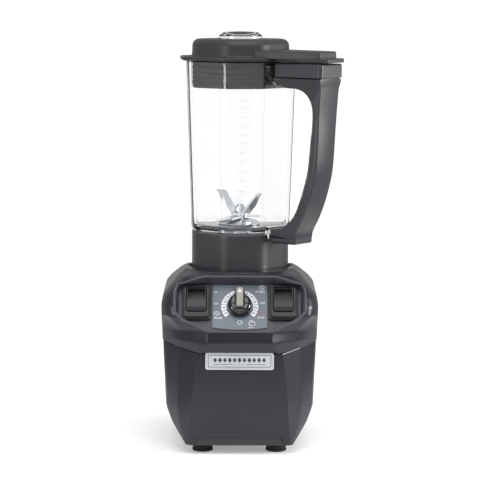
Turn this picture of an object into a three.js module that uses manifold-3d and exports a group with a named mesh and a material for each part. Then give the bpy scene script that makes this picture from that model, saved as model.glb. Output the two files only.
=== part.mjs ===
import * as THREE from 'three';
import { mergeVertices } from 'three/addons/utils/BufferGeometryUtils.js';
import { ConvexGeometry } from 'three/addons/geometries/ConvexGeometry.js';
import Module from 'manifold-3d';

// Countertop bar blender. Millimetres, +Z up, front towards -Y.
// Everything is modelled about the motor axis, then shifted so that the origin is the
// middle of the footprint on the worktop.

const wasm = await Module();
wasm.setup();

// ---------------------------------------------------------------- driving dimensions

const DEG = Math.PI / 180;
const GAP = 0.3;
const WALL = 3;

const FOOT_HEIGHT = 10;
const FOOT_RADIUS = 11.3;
const FOOT_X = 39.7;
const FOOT_Y = 66;
const COVER_BOTTOM = 10.3;
const COVER_TOP = 13.3;
const BODY_BOTTOM = 10;
const SEAM = 120.5;
const SEAM_CHIN = 113;
const SEAM_DIP = 111.6;
const RIM_TOP = 195;
const SEAT_FLOOR = 188;
const SEAT_RADIUS = 57;

const PANEL_TILT = 53 * DEG;
const PANEL_Y = -83.3;
const PANEL_Z = 159.2;
const PADDLE_X = 46.3;
const PADDLE_V = 3.5;
const PADDLE_PIVOT_N = 3;

const HANDLE_ANGLE = -40 * DEG;
const HANDLE_WIDTH = 32;
const COLLAR_BOTTOM = 188.4;
const COLLAR_TOP = 232.6;
const JAR_BOTTOM = 233;
const JAR_FLOOR = 237;
const JAR_TOP = 418.5;
const LID_FLANGE_BOTTOM = 419.3;
const LID_FLANGE_TOP = 423.7;
const LID_TOP = 442.5;
const CAP_TOP = 450;
const CAP_RADIUS = 24;
const CUP_RADIUS = 21.5;

const SHAFT_RADIUS = 5;
const BLADE_SHAFT_RADIUS = 4;
const STATOR_BOTTOM = 66;
const STATOR_TOP = 112;
const STATOR_SIDE = 88;
const ROTOR_RADIUS = 22.5;
const POST_OFFSET = 36;

// ---------------------------------------------------------------- solids and placing

function toSolid(geometry) {
  const bare = geometry.clone();
  bare.deleteAttribute('normal');
  bare.deleteAttribute('uv');
  const merged = mergeVertices(bare, 1e-4);
  return new wasm.Manifold(new wasm.Mesh({
    numProp: 3,
    vertProperties: new Float32Array(merged.attributes.position.array),
    triVerts: new Uint32Array(merged.index.array),
  }));
}

function toGeometry(solid) {
  const mesh = solid.getMesh();
  const geometry = new THREE.BufferGeometry();
  geometry.setAttribute('position', new THREE.BufferAttribute(mesh.vertProperties, 3));
  geometry.setIndex(new THREE.BufferAttribute(mesh.triVerts, 1));
  geometry.computeVertexNormals();
  return geometry;
}

function joined(first, ...others) {
  return others.reduce((sum, geometry) => sum.add(toSolid(geometry)), toSolid(first));
}

function cut(solid, ...tools) {
  return tools.reduce((rest, geometry) => rest.subtract(toSolid(geometry)), solid);
}

function finish(color, roughness, metalness = 0) {
  return new THREE.MeshStandardMaterial({ color, roughness, metalness });
}

const CHARCOAL = [0x3e3d41, 0.45];
const BLACK_PLASTIC = [0x28282a, 0.5];
const GLOSS_BLACK = [0x141416, 0.15];
const RUBBER = [0x1c1c1e, 0.8];
const STEEL = [0xb8bcc0, 0.3, 1];
const CLEAR = [0xdfe8ea, 0.05];
const COPPER = [0xb06a35, 0.35, 1];
const IRON = [0x6a6c70, 0.5, 1];

function part(name, shape, look) {
  const geometry = shape instanceof THREE.BufferGeometry ? shape : toGeometry(shape);
  const mesh = new THREE.Mesh(geometry, finish(...look));
  mesh.name = name;
  return mesh;
}

// ---------------------------------------------------------------- outlines

// Closed outline with an arc at each corner; corners are [x, y, radius].
function roundedShape(corners) {
  const shape = new THREE.Shape();
  corners.forEach(([x, y, radius], index) => {
    const corner = new THREE.Vector2(x, y);
    const before = new THREE.Vector2(...corners.at(index - 1)).sub(corner);
    const after = new THREE.Vector2(...corners[(index + 1) % corners.length]).sub(corner);
    const turn = Math.PI - Math.acos(before.dot(after) / (before.length() * after.length()));
    const reach = Math.min(radius * Math.tan(turn / 2), before.length() * 0.48, after.length() * 0.48);
    const start = corner.clone().add(before.setLength(reach));
    const end = corner.clone().add(after.setLength(reach));
    if (index === 0) {
      shape.moveTo(start.x, start.y);
    } else {
      shape.lineTo(start.x, start.y);
    }
    shape.quadraticCurveTo(x, y, end.x, end.y);
  });
  shape.closePath();
  return shape;
}

function rectangle(width, height, radius) {
  const x = width / 2;
  const y = height / 2;
  return roundedShape([[-x, -y, radius], [x, -y, radius], [x, y, radius], [-x, y, radius]]);
}

function circle(radius) {
  return new THREE.Shape().absarc(0, 0, radius, 0, 2 * Math.PI);
}

// Square with cut corners: flats at distance main, corner faces at distance corner.
function octagonCorners(main, corner, radius) {
  const half = Math.SQRT2 * corner - main;
  const corners = [];
  for (let quarter = 0; quarter < 4; quarter += 1) {
    const angle = quarter * 90 * DEG;
    for (const side of [-half, half]) {
      const x = main * Math.cos(angle) - side * Math.sin(angle);
      const y = main * Math.sin(angle) + side * Math.cos(angle);
      corners.push([x, y, radius]);
    }
  }
  return corners;
}

function octagon(main, corner, radius = 14) {
  return roundedShape(octagonCorners(main, corner, radius));
}

// ---------------------------------------------------------------- basic bodies

function prism(shape, bottom, top, curveSegments = 2) {
  const geometry = new THREE.ExtrudeGeometry(shape, {
    depth: top - bottom,
    bevelEnabled: false,
    curveSegments,
  });
  return geometry.translate(0, 0, bottom);
}

function disc(radius, bottom, top, segments = 24) {
  const geometry = new THREE.CylinderGeometry(radius, radius, top - bottom, segments);
  return geometry.rotateX(90 * DEG).translate(0, 0, (bottom + top) / 2);
}

function block(width, depth, height, x, y, z) {
  return new THREE.BoxGeometry(width, depth, height).translate(x, y, z);
}

// Body of revolution about Z from a profile of [radius, z].
function turned(profile, segments = 24) {
  const points = profile.map(([radius, z]) => new THREE.Vector2(radius, z));
  return new THREE.LatheGeometry(points, segments).rotateX(90 * DEG);
}

function ring(outer, inner, bottom, top, segments = 20) {
  const profile = [[inner, bottom], [outer, bottom], [outer, top], [inner, top], [inner, bottom]];
  return turned(profile, segments);
}

// Convex body through a stack of outlines, each { shape, z }.
function loft(levels, curveSegments = 2) {
  const points = levels.flatMap(({ shape, z }) => (
    shape.getPoints(curveSegments).map((point) => new THREE.Vector3(point.x, point.y, z))
  ));
  return new ConvexGeometry(points);
}

// ---------------------------------------------------------------- base housings

// One level of the base: half of its outline from the front flat round to the rear flat.
function station(z, flat, front, brow, side, flank, rearFlank, rearFlat, rear) {
  return { z, flat, front, brow, side, flank, rearFlank, rearFlat, rear };
}

const UPPER_LEVELS = [
  station(104, 44.5, 99.3, [64, 81], 82.9, 59.5, 58, 52, 95.8),
  station(114, 40, 104.5, [64, 85], 83.2, 61, 58, 52, 96),
  station(123.7, 34, 111, [62, 90], 83.4, 64, 58, 52, 96.3),
  station(136, 34, 110, [62, 90], 83.6, 69, 58, 52, 96.3),
  station(150, 56, 101.7, [76, 91], 83.9, 76, 58, 52, 96),
  station(160, 64, 96, [78, 88], 84.2, 74, 58, 52, 95.5),
  station(170, 66, 90.2, [77.6, 82], 82.6, 68, 56, 52, 93.5),
  station(181, 60, 84, [70, 77], 74, 62, 52, 50, 88),
  station(190.4, 48, 78.5, [58.5, 70], 65.4, 50, 46, 44, 79),
  station(RIM_TOP, 32, 70.5, [46, 59], 59, 38, 34, 30, 66),
];

const LOWER_LEVELS = [
  station(BODY_BOTTOM, 53.6, 90, [55.6, 89], 57.6, 87, 84, 51, 90),
  station(20, 53.8, 93, [59.6, 88.6], 64.8, 80.4, 77.4, 52, 92),
  station(33, 53, 95.6, [63.8, 86.6], 73.2, 71, 68, 53, 94),
  station(48.5, 51.8, 97, [66.2, 84.6], 79.6, 63.6, 61, 53, 95),
  station(62, 51, 97.5, [66, 83.4], 80.3, 62.3, 60, 53, 95.5),
  station(SEAM + 3, 44, 99.8, [64, 80.5], 83, 59.5, 58, 52, 96),
];

function baseOutline(level, inset) {
  const { flat, front, brow, side, flank, rearFlank, rearFlat, rear } = level;
  const slip = inset * 0.45;
  const right = [
    [flat - slip, inset - front, 10],
    [brow[0] - inset * 0.7, inset * 0.7 - brow[1], 18],
    [side - inset, slip - flank, 14],
    [side - inset, rearFlank - slip, 22],
    [rearFlat - slip, rear - inset, 22],
  ];
  const left = right.map(([x, y, radius]) => [-x, y, radius]).reverse();
  return roundedShape([...right, ...left]);
}

function baseBody(levels, inset) {
  return loft(levels.map((level) => ({ shape: baseOutline(level, inset), z: level.z })));
}

// Everything under the seam: level all round, dipping at the front corners beside the badge.
function belowSeam(clearance) {
  const reach = 120;
  const flat = SEAM - clearance;
  const dip = SEAM_DIP - clearance;
  const chin = SEAM_CHIN - clearance;
  const frontShape = new THREE.Shape();
  frontShape.moveTo(-reach, -reach);
  frontShape.lineTo(reach, -reach);
  frontShape.lineTo(reach, flat);
  frontShape.lineTo(84, flat);
  frontShape.quadraticCurveTo(64, dip + 4, 43, dip);
  frontShape.lineTo(39, chin);
  frontShape.lineTo(-39, chin);
  frontShape.lineTo(-43, dip);
  frontShape.quadraticCurveTo(-64, dip + 4, -84, flat);
  frontShape.lineTo(-reach, flat);
  const front = prism(frontShape, 0, reach, 6).rotateX(90 * DEG);
  const rear = block(2 * reach, reach + 10, flat + reach, 0, reach / 2 - 5, (flat - reach) / 2);
  return joined(front, rear);
}

// Corners of the recessed control panel, right half, in panel coordinates [x, up, out]:
// its floor lies on the panel plane, its mouth on the housing's sloping face.
const PANEL_FLOOR = [
  [33, -29, 0], [60.5, -19.4, 0], [65.6, -10, 0], [66, 18, 0], [63.4, 25, 0], [37.5, 26.6, 0],
];
const PANEL_MOUTH = [
  [34, -33, 7.2], [62, -20.2, 8.9], [69.5, -11.4, 10], [69, 17, 13.6], [39.3, 28.5, 15.1],
];

// Wedge that fills the recess and runs on forwards, its floor lowered and its sides grown.
function panelPlug(grow, drop) {
  const forward = 24;
  const widen = ([x, v, n]) => [x + grow * 0.7, v + Math.sign(v) * grow * 0.7, n];
  const low = PANEL_FLOOR.map(widen).map(([x, v, n]) => [x, v, n - drop]);
  const mouth = PANEL_MOUTH.map(widen);
  const beyond = mouth.map(([x, v, n]) => (
    [x, v - forward * Math.cos(PANEL_TILT), n + forward * Math.sin(PANEL_TILT)]
  ));
  const points = [...low, ...mouth, ...beyond].flatMap(([x, v, n]) => (
    [new THREE.Vector3(x, v, n), new THREE.Vector3(-x, v, n)]
  ));
  return onPanel(new ConvexGeometry(points));
}

function onPanel(geometry) {
  return geometry.rotateX(PANEL_TILT).translate(0, PANEL_Y, PANEL_Z);
}

function upperHousing() {
  const inside = UPPER_LEVELS.filter(({ z }) => z < 182);
  const shell = cut(toSolid(baseBody(UPPER_LEVELS, 0)), baseBody(inside, WALL));
  return cut(
    shell.subtract(belowSeam(0)),
    disc(SEAT_RADIUS, SEAT_FLOOR, RIM_TOP + 5, 36),
    disc(12, 170, RIM_TOP),
    panelPlug(2.4, 2.9),
  );
}

function apronShape(grow) {
  const half = 46 + grow;
  const top = 18.8 + grow;
  return roundedShape([[-half - 3, 0, 0.1], [half + 3, 0, 0.1], [half, top, 4], [-half, top, 4]]);
}

const VENT = { width: 68, height: 34, z: 66, y: 93.6, thickness: 2.4 };
const INLET = { x: 30, z: 30, radius: 6.4 };

function lowerHousing() {
  const outside = baseBody(LOWER_LEVELS, 0);
  const open = [
    { ...LOWER_LEVELS[0], z: BODY_BOTTOM - 1 },
    ...LOWER_LEVELS.slice(1, -1),
    { ...LOWER_LEVELS.at(-1), z: SEAM + 12 },
  ];
  const shell = cut(toSolid(outside), baseBody(open, WALL)).intersect(belowSeam(0.5));
  return cut(
    shell,
    prism(apronShape(0), 60, 120).rotateX(90 * DEG),
    block(VENT.width + 1, 20, VENT.height + 1, 0, VENT.y, VENT.z),
    disc(INLET.radius + 0.4, 80, 110).rotateX(-90 * DEG).translate(INLET.x, 0, INLET.z),
  );
}

function bottomCover() {
  const plate = prism(baseOutline(LOWER_LEVELS[0], WALL + GAP), COVER_BOTTOM, COVER_TOP);
  const apron = prism(apronShape(-0.5), 83, 91).rotateX(90 * DEG);
  const trim = block(120, 30, 20, 0, -87, COVER_BOTTOM - 10);
  const solid = cut(joined(plate, apron), trim);
  const slots = [];
  for (let row = -2; row <= 2; row += 1) {
    slots.push(block(52 - 6 * Math.abs(row), 4.5, 10, 0, row * 10, COVER_TOP));
  }
  const holes = footPlaces().map(({ x, y }) => disc(2.4, 0, 20, 10).translate(x, y, 0));
  return cut(solid, ...slots, ...holes);
}

// ---------------------------------------------------------------- feet

function footPlaces() {
  return [
    { side: 'front_left', x: -FOOT_X, y: -FOOT_Y },
    { side: 'front_right', x: FOOT_X, y: -FOOT_Y },
    { side: 'rear_left', x: -FOOT_X, y: FOOT_Y },
    { side: 'rear_right', x: FOOT_X, y: FOOT_Y },
  ];
}

function foot() {
  return turned([
    [5.2, 0], [FOOT_RADIUS - 1, 0], [FOOT_RADIUS, 1], [FOOT_RADIUS - 0.6, FOOT_HEIGHT],
    [2.4, FOOT_HEIGHT], [2.4, 4.4], [5.2, 4.4], [5.2, 0],
  ], 16);
}

function footScrew() {
  return turned([[0, 1.8], [3.6, 1.8], [4.4, 2.8], [4.4, 4.1], [2, 4.1], [2, 15], [0, 15]], 10);
}

function feet() {
  const group = new THREE.Group();
  for (const { side, x, y } of footPlaces()) {
    const rubber = part(`foot_${side}`, foot(), RUBBER);
    const screw = part(`foot_screw_${side}`, footScrew(), STEEL);
    rubber.position.set(x, y, 0);
    screw.position.set(x, y, 0);
    group.add(rubber, screw);
  }
  return group;
}

// ---------------------------------------------------------------- rear and badge

function ventGrille() {
  const plate = block(VENT.width, VENT.thickness, VENT.height, 0, VENT.y, VENT.z);
  const slots = [];
  for (let row = -2; row <= 2; row += 1) {
    slots.push(block(VENT.width - 10, 10, 3, 0, VENT.y, VENT.z + row * 6));
  }
  return cut(toSolid(plate), ...slots);
}

function cordInlet() {
  const gland = turned([
    [3.8, 88], [INLET.radius, 88], [INLET.radius, 95.6], [9, 95.6], [9, 97.4], [7.6, 98.4],
    [3.8, 98.4], [3.8, 88],
  ], 24);
  return gland.rotateX(-90 * DEG).translate(INLET.x, 0, INLET.z);
}

function badgePlate() {
  const thickness = 1.6;
  const plate = prism(rectangle(73, 18.2, 2.5), 0, thickness);
  const field = prism(rectangle(69.4, 14.6, 1.4), thickness - 0.5, thickness + 1);
  const solid = cut(toSolid(plate), field);
  return toGeometry(solid).rotateX(92 * DEG).translate(0, -99.5, 103.3);
}

// ---------------------------------------------------------------- control panel

function controlTray() {
  const shell = toSolid(panelPlug(2, 2.5)).intersect(toSolid(baseBody(UPPER_LEVELS, -0.7)));
  const openings = [-PADDLE_X, PADDLE_X].map((x) => (
    onPanel(prism(rectangle(23, 35.5, 2), -10, 10).translate(x, PADDLE_V, 0))
  ));
  return cut(shell, panelPlug(0, 0), ...openings, onPanel(disc(3.8, -10, 10, 16)));
}

function controlLabel() {
  const shape = new THREE.Shape();
  shape.moveTo(-29.2, -25.4);
  shape.quadraticCurveTo(0, -28.6, 29.2, -25.4);
  shape.lineTo(29.2, 25.2);
  shape.lineTo(-29.2, 25.2);
  shape.closePath();
  return cut(toSolid(prism(shape, 0.3, 1)), disc(3.8, -1, 3, 20));
}

function switchFrame() {
  const outer = prism(rectangle(31, 40.5, 3), 0.3, 7);
  return cut(toSolid(outer), prism(rectangle(23, 35.5, 2), -1, 12));
}

// Switch body with a well in its top for the swing of the rocker.
function switchBody() {
  const body = block(27, 38, 24, 0, 0, -15.2);
  const terminals = [-9, 0, 9].map((y) => block(6, 0.8, 9, 0, y, -31));
  return cut(joined(body, ...terminals), block(22, 34.6, 4, 0, 0, -2.7));
}

// Rocker with a finger pocket that is deep at its top and shallow at its lower rim.
function rocker() {
  const side = new THREE.Shape();
  side.moveTo(-16.2, -2.2);
  side.lineTo(16.2, -2.2);
  side.lineTo(16.2, 7.6);
  side.lineTo(-8.5, 10.4);
  side.quadraticCurveTo(-12, 10.4, -12.6, 7.4);
  side.lineTo(-16.2, 6);
  side.closePath();
  const width = 20.8;
  const body = prism(side, -width / 2, width / 2).rotateY(90 * DEG).rotateX(90 * DEG);
  const pocket = new THREE.Shape();
  pocket.moveTo(14.2, 12);
  pocket.lineTo(14.2, 0.8);
  pocket.lineTo(7, 3.4);
  pocket.quadraticCurveTo(0, 8, -8, 9.2);
  pocket.lineTo(-8, 12);
  pocket.closePath();
  const hollow = prism(pocket, -8.4, 8.4).rotateY(90 * DEG).rotateX(90 * DEG);
  return cut(toSolid(body), hollow).translate([0, 0, -PADDLE_PIVOT_N]);
}

function timerKnob() {
  const body = turned([
    [0, 1.6], [13.2, 1.6], [13.2, 4], [12.6, 8], [10, 10.6], [0, 11.4],
  ]);
  const stem = disc(3.2, -2.2, 3, 20);
  const grip = new THREE.Shape();
  grip.moveTo(-12.6, 2);
  grip.lineTo(16.6, 2);
  grip.lineTo(17, 12.6);
  grip.lineTo(15.8, 14);
  grip.lineTo(-6.6, 14);
  grip.quadraticCurveTo(-11.6, 11, -12.6, 2);
  const bar = prism(grip, -5.6, 5.6).rotateY(90 * DEG).rotateX(90 * DEG);
  return joined(body, stem, bar);
}

function timerBody() {
  return joined(block(34, 34, 20, 0, 0, -13.2), disc(5, -26, -22), block(8, 0.8, 8, 10, 8, -27));
}

function controlPanel() {
  const panel = new THREE.Group();
  panel.rotation.x = PANEL_TILT;
  panel.position.set(0, PANEL_Y, PANEL_Z);
  const pointer = prism(rectangle(6.9, 22, 0.6), 14.3, 15);
  panel.add(
    part('control_label', controlLabel(), [0x7e8690, 0.5]),
    part('timer_knob', timerKnob(), GLOSS_BLACK),
    part('knob_pointer', pointer.translate(0, 5, 0), [0xa0a096, 0.4]),
    part('timer_body', timerBody(), BLACK_PLASTIC),
  );
  const switches = [
    { x: -PADDLE_X, paddle: 'speed_paddle', frame: 'speed_switch_frame', body: 'speed_switch_body' },
    { x: PADDLE_X, paddle: 'start_paddle', frame: 'start_switch_frame', body: 'start_switch_body' },
  ];
  for (const { x, paddle, frame, body } of switches) {
    const frameMesh = part(frame, switchFrame(), BLACK_PLASTIC);
    const bodyMesh = part(body, switchBody(), BLACK_PLASTIC);
    const paddleMesh = part(paddle, rocker(), BLACK_PLASTIC);
    frameMesh.position.set(x, PADDLE_V, 0);
    bodyMesh.position.set(x, PADDLE_V, 0);
    paddleMesh.position.set(x, PADDLE_V, PADDLE_PIVOT_N);
    panel.add(frameMesh, bodyMesh, paddleMesh);
  }
  return panel;
}

// ---------------------------------------------------------------- motor

const BRACKET_PLATE = 4;
const HUB_RADIUS = 15;
const BEARING_RADIUS = 11;

function stator() {
  const stack = prism(rectangle(STATOR_SIDE, STATOR_SIDE, 10), STATOR_BOTTOM, STATOR_TOP);
  const slots = [];
  for (const x of [-1, 1]) {
    for (const y of [-1, 1]) {
      slots.push(block(20, 8.8, 80, x * 24, y * 18.8, 90));
    }
  }
  return cut(toSolid(stack), disc(ROTOR_RADIUS + 0.8, 50, 130), ...slots);
}

function fieldCoil() {
  const outline = rectangle(44.6, 60, 8);
  outline.holes.push(rectangle(30.4, STATOR_TOP - STATOR_BOTTOM + 0.8, 0.1));
  return prism(outline, -3.5, 3.5).rotateX(90 * DEG).rotateZ(90 * DEG);
}

function motorBracket(plateBottom, postEnd, hubEnd) {
  const plateTop = plateBottom + BRACKET_PLATE;
  const plate = prism(rectangle(STATOR_SIDE, STATOR_SIDE, 10), plateBottom, plateTop);
  const hub = disc(HUB_RADIUS, Math.min(plateBottom, hubEnd), Math.max(plateTop, hubEnd));
  const posts = [];
  const windows = [];
  for (const x of [-1, 1]) {
    for (const y of [-1, 1]) {
      const low = Math.min(plateBottom + 1, postEnd);
      const high = Math.max(plateTop - 1, postEnd);
      posts.push(disc(4, low, high, 10).translate(x * POST_OFFSET, y * POST_OFFSET, 0));
    }
  }
  for (const angle of [0, 90, 180, 270]) {
    windows.push(disc(11, 0, 200, 12).translate(29, 0, 0).rotateZ(angle * DEG));
  }
  return cut(joined(plate, hub, ...posts), ...windows, disc(BEARING_RADIUS + GAP, 0, 300));
}

// Slotted core of twelve teeth with its winding heads above and below.
function armature() {
  const teeth = 12;
  const pitch = (2 * Math.PI) / teeth;
  const tip = ROTOR_RADIUS;
  const tooth = [[0.12, 16], [0.12, tip], [0.5, tip], [0.88, tip], [0.88, 16]];
  const points = [];
  for (let index = 0; index < teeth; index += 1) {
    for (const [step, radius] of tooth) {
      const angle = (index + step) * pitch;
      points.push(new THREE.Vector2(radius * Math.cos(angle), radius * Math.sin(angle)));
    }
  }
  const core = prism(new THREE.Shape(points), STATOR_BOTTOM, STATOR_TOP);
  const winding = disc(17, STATOR_BOTTOM - 4, STATOR_TOP + 6, 24);
  return cut(joined(core, winding), disc(SHAFT_RADIUS + GAP, 0, 200, 20));
}

function coolingFan() {
  const hub = disc(12, 15, 28.5, 24);
  const plate = disc(40, 26.5, 28.5);
  const blades = [];
  const count = 9;
  for (let index = 0; index < count; index += 1) {
    const blade = block(29, 1.6, 12.5, 25, 0, 21.25);
    blades.push(blade.rotateZ((index * 2 * Math.PI) / count));
  }
  return cut(joined(hub, plate, ...blades), disc(SHAFT_RADIUS + GAP, 0, 60, 20));
}

// Six-lobed star for the two halves of the drive coupling.
function star(radius, depth) {
  const shape = new THREE.Shape();
  const steps = 30;
  for (let step = 0; step < steps; step += 1) {
    const angle = (step * 2 * Math.PI) / steps;
    const reach = radius + depth * Math.cos(6 * angle);
    const point = [reach * Math.cos(angle), reach * Math.sin(angle)];
    if (step === 0) {
      shape.moveTo(...point);
    } else {
      shape.lineTo(...point);
    }
  }
  shape.closePath();
  return shape;
}

function driveCoupling() {
  const body = turned([
    [0, 189], [9, 189], [9, 190.5], [17.5, 190.5], [17.5, 203.6], [16.2, 205], [0, 205],
  ]);
  const socket = prism(star(10.6, 1.5), 195.4, 210);
  const bored = cut(toSolid(body), socket, disc(SHAFT_RADIUS + GAP, 180, 194.6, 20));
  return bored.rotate([0, 0, HANDLE_ANGLE / DEG]);
}

function drivenCoupling() {
  const spur = prism(star(10.1, 1.5), 196, 206.5);
  const flange = disc(14, 206, 211, 28);
  return cut(joined(spur, flange), disc(BLADE_SHAFT_RADIUS + GAP, 203.6, 220, 16));
}

function controlBoard() {
  const board = block(92, 1.6, 60, 0, -84, 62);
  const relay = block(18, 15, 16, -30, -76.3, 74);
  const capacitor = disc(8, 0, 25, 20).rotateX(-90 * DEG).translate(30, -84, 74);
  const heatSink = block(40, 12, 22, 0, -78, 46);
  return joined(board, relay, capacitor, heatSink);
}

function motor() {
  const group = new THREE.Group();
  const brush = () => block(22, 9, 8, 0, 0, 53);
  const left = part('brush_holder_left', brush(), [0xb08d4a, 0.4, 1]);
  const right = part('brush_holder_right', brush(), [0xb08d4a, 0.4, 1]);
  left.position.x = -25.5;
  right.position.x = 25.5;
  const coilLeft = part('field_coil_left', fieldCoil(), COPPER);
  const coilRight = part('field_coil_right', fieldCoil(), COPPER);
  coilLeft.position.set(-29.5, 0, (STATOR_BOTTOM + STATOR_TOP) / 2);
  coilRight.position.set(29.5, 0, (STATOR_BOTTOM + STATOR_TOP) / 2);
  group.add(
    part('motor_stator', stator(), IRON),
    coilLeft,
    coilRight,
    part('motor_bracket_lower', motorBracket(34, STATOR_BOTTOM - GAP, 42), STEEL),
    part('motor_bracket_upper', motorBracket(124, STATOR_TOP + GAP, 136), STEEL),
    part('motor_bearing_lower', ring(BEARING_RADIUS, SHAFT_RADIUS + GAP, 34.5, 41.5), STEEL),
    part('motor_bearing_upper', ring(BEARING_RADIUS, SHAFT_RADIUS + GAP, 127.5, 135.5), STEEL),
    left,
    right,
    part('fan_shroud', ring(45.5, 43, COVER_TOP + GAP, 33.6, 28), BLACK_PLASTIC),
    part('motor_shaft', disc(SHAFT_RADIUS, COVER_TOP + 1, 194.2, 20), STEEL),
    part('armature', armature(), IRON),
    part('commutator', ring(13, SHAFT_RADIUS + GAP, 46, 60), COPPER),
    part('cooling_fan', coolingFan(), BLACK_PLASTIC),
    part('drive_coupling', driveCoupling(), STEEL),
    part('control_board', controlBoard(), [0x2c5a3a, 0.5]),
  );
  return group;
}

// ---------------------------------------------------------------- jar

function jarMain(z) {
  return 50.5 + ((z - JAR_BOTTOM) / (JAR_TOP - JAR_BOTTOM)) * 5.8;
}

function jarCorner(z) {
  return 52.6 + ((z - JAR_BOTTOM) / (JAR_TOP - JAR_BOTTOM)) * 6.2;
}

function jarLevel(z, inset) {
  return { shape: octagon(jarMain(z) - inset, jarCorner(z) - inset), z };
}

function jarBody() {
  const outside = loft([
    jarLevel(JAR_BOTTOM, 3),
    jarLevel(JAR_BOTTOM + 4, 0),
    jarLevel(JAR_TOP, 0),
  ], 3);
  const inside = loft([
    jarLevel(JAR_FLOOR, 10),
    jarLevel(JAR_FLOOR + 7, 3.2),
    { shape: jarLevel(JAR_TOP, 3.2).shape, z: JAR_TOP + 2 },
  ], 3);
  const upperLug = loft([
    { shape: rectangle(8, 24, 2), z: 394 },
    { shape: rectangle(12, 48, 3), z: 403 },
    { shape: rectangle(12, 48, 3), z: 415 },
  ]).translate(55.5, 0, 0);
  const lowerLug = block(7.3, 35, 7.7, 51.65, 0, 237.15);
  const lowerTab = block(4.4, 35, 6, 53.1, 0, 231.5);
  return cut(joined(outside, upperLug, lowerLug, lowerTab), inside, disc(17, 200, 250));
}

function jarCollar() {
  const outer = prism(octagon(50.5, 52.4), COLLAR_BOTTOM, COLLAR_TOP);
  const inner = prism(octagon(50.5 - WALL, 52.4 - WALL, 12), 150, COLLAR_TOP - WALL);
  return cut(toSolid(outer), inner, disc(20, 200, 300));
}

function jarPad() {
  const pad = prism(octagon(46.8, 48.7, 12), SEAT_FLOOR + GAP, 197);
  return cut(toSolid(pad), disc(19, 150, 220));
}

// Side view of the grip: arched arm at the top, long grip, foot at the bottom.
function gripShape() {
  const shape = new THREE.Shape();
  shape.moveTo(62, 402.9);
  shape.lineTo(125, 402.9);
  shape.lineTo(123.4, 395);
  shape.bezierCurveTo(122, 365, 120, 330, 116.4, 302);
  shape.bezierCurveTo(112.4, 278, 101.4, 255, 90.6, 235);
  shape.lineTo(90, 230.3);
  shape.lineTo(55.8, 230.3);
  shape.lineTo(55.8, 239.6);
  shape.lineTo(66, 240.4);
  shape.bezierCurveTo(84, 250, 103, 285, 103.5, 318);
  shape.lineTo(105, 368);
  shape.bezierCurveTo(105, 384, 98, 391.5, 86, 391.8);
  shape.lineTo(73, 392);
  shape.lineTo(62, 400);
  shape.closePath();
  return shape;
}

function handleGrip() {
  return prism(gripShape(), -HANDLE_WIDTH / 2, HANDLE_WIDTH / 2, 7).rotateX(90 * DEG);
}

function handleTopBlock() {
  const outline = rectangle(64, 38.8, 4);
  return prism(outline, 403.3, 418).translate(62 + 32, 0, 0);
}

function handleFootCap() {
  return prism(rectangle(33.9, 32.4, 4), 224, 229.9).translate(72.8, 0, 0);
}

function bladeHousing() {
  return turned([
    [8, 214], [16.6, 214], [16.6, 238], [24, 238], [24, 240], [20, 243], [10.5, 245], [8, 245],
    [8, 214],
  ]);
}

function retainingNut() {
  const body = ring(27, 17, 222, 229.2, 24);
  const notches = [];
  for (let index = 0; index < 8; index += 1) {
    notches.push(block(5, 5, 20, 27, 0, 225).rotateZ(index * 45 * DEG));
  }
  return cut(toSolid(body), ...notches);
}

// Two-winged blade: hub at height z, wings bent by the given angle.
function blade(z, bend, length) {
  const wing = new THREE.Shape();
  wing.moveTo(0, -6.5);
  wing.lineTo(length * 0.9, -5);
  wing.lineTo(length, 3);
  wing.lineTo(length * 0.5, 6.5);
  wing.lineTo(0, 6.5);
  wing.closePath();
  const wings = [0, 180].map((turn) => {
    const geometry = prism(wing, -1.1, 1.1).rotateY(-bend * DEG);
    return geometry.translate(7, 0, z + 1.1).rotateZ(turn * DEG);
  });
  return cut(joined(disc(9.5, z, z + 2.2, 24), ...wings), disc(BLADE_SHAFT_RADIUS + GAP, 0, 400, 16));
}

function bladeNut() {
  const nut = turned([[0, 252.6], [5.8, 252.6], [6.4, 254.6], [5.6, 258], [3.4, 261.2], [0, 262]], 16);
  return cut(toSolid(nut), disc(BLADE_SHAFT_RADIUS + GAP, 200, 259, 16));
}

function jarAssembly() {
  const group = new THREE.Group();
  group.rotation.z = HANDLE_ANGLE;
  const sleeve = (low, high) => ring(7.7, BLADE_SHAFT_RADIUS + GAP, low, high, 24);
  group.add(
    part('jar_pad', jarPad(), RUBBER),
    part('jar', jarBody(), CLEAR),
    part('jar_collar', jarCollar(), BLACK_PLASTIC),
    part('handle_grip', handleGrip(), CHARCOAL),
    part('handle_top_block', handleTopBlock(), CHARCOAL),
    part('handle_foot_cap', handleFootCap(), CHARCOAL),
    part('blade_housing', bladeHousing(), STEEL),
    part('jar_gasket', ring(23.4, 17.2, JAR_FLOOR + 0.2, JAR_FLOOR + 0.8), RUBBER),
    part('retaining_nut', retainingNut(), BLACK_PLASTIC),
    part('blade_bearing', sleeve(216, 236), STEEL),
    part('shaft_seal', sleeve(238, 242), RUBBER),
    part('blade_shaft', disc(BLADE_SHAFT_RADIUS, 204, 258.6, 16), STEEL),
    part('lower_blade', toGeometry(blade(246.6, -6, 30)).rotateZ(90 * DEG), STEEL),
    part('upper_blade', blade(249.8, 48, 34), STEEL),
    part('blade_nut', bladeNut(), STEEL),
    part('driven_coupling', drivenCoupling(), BLACK_PLASTIC),
  );
  return group;
}

// ---------------------------------------------------------------- lid and cap

const SKIRT_BOTTOM = 389.8;

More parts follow.
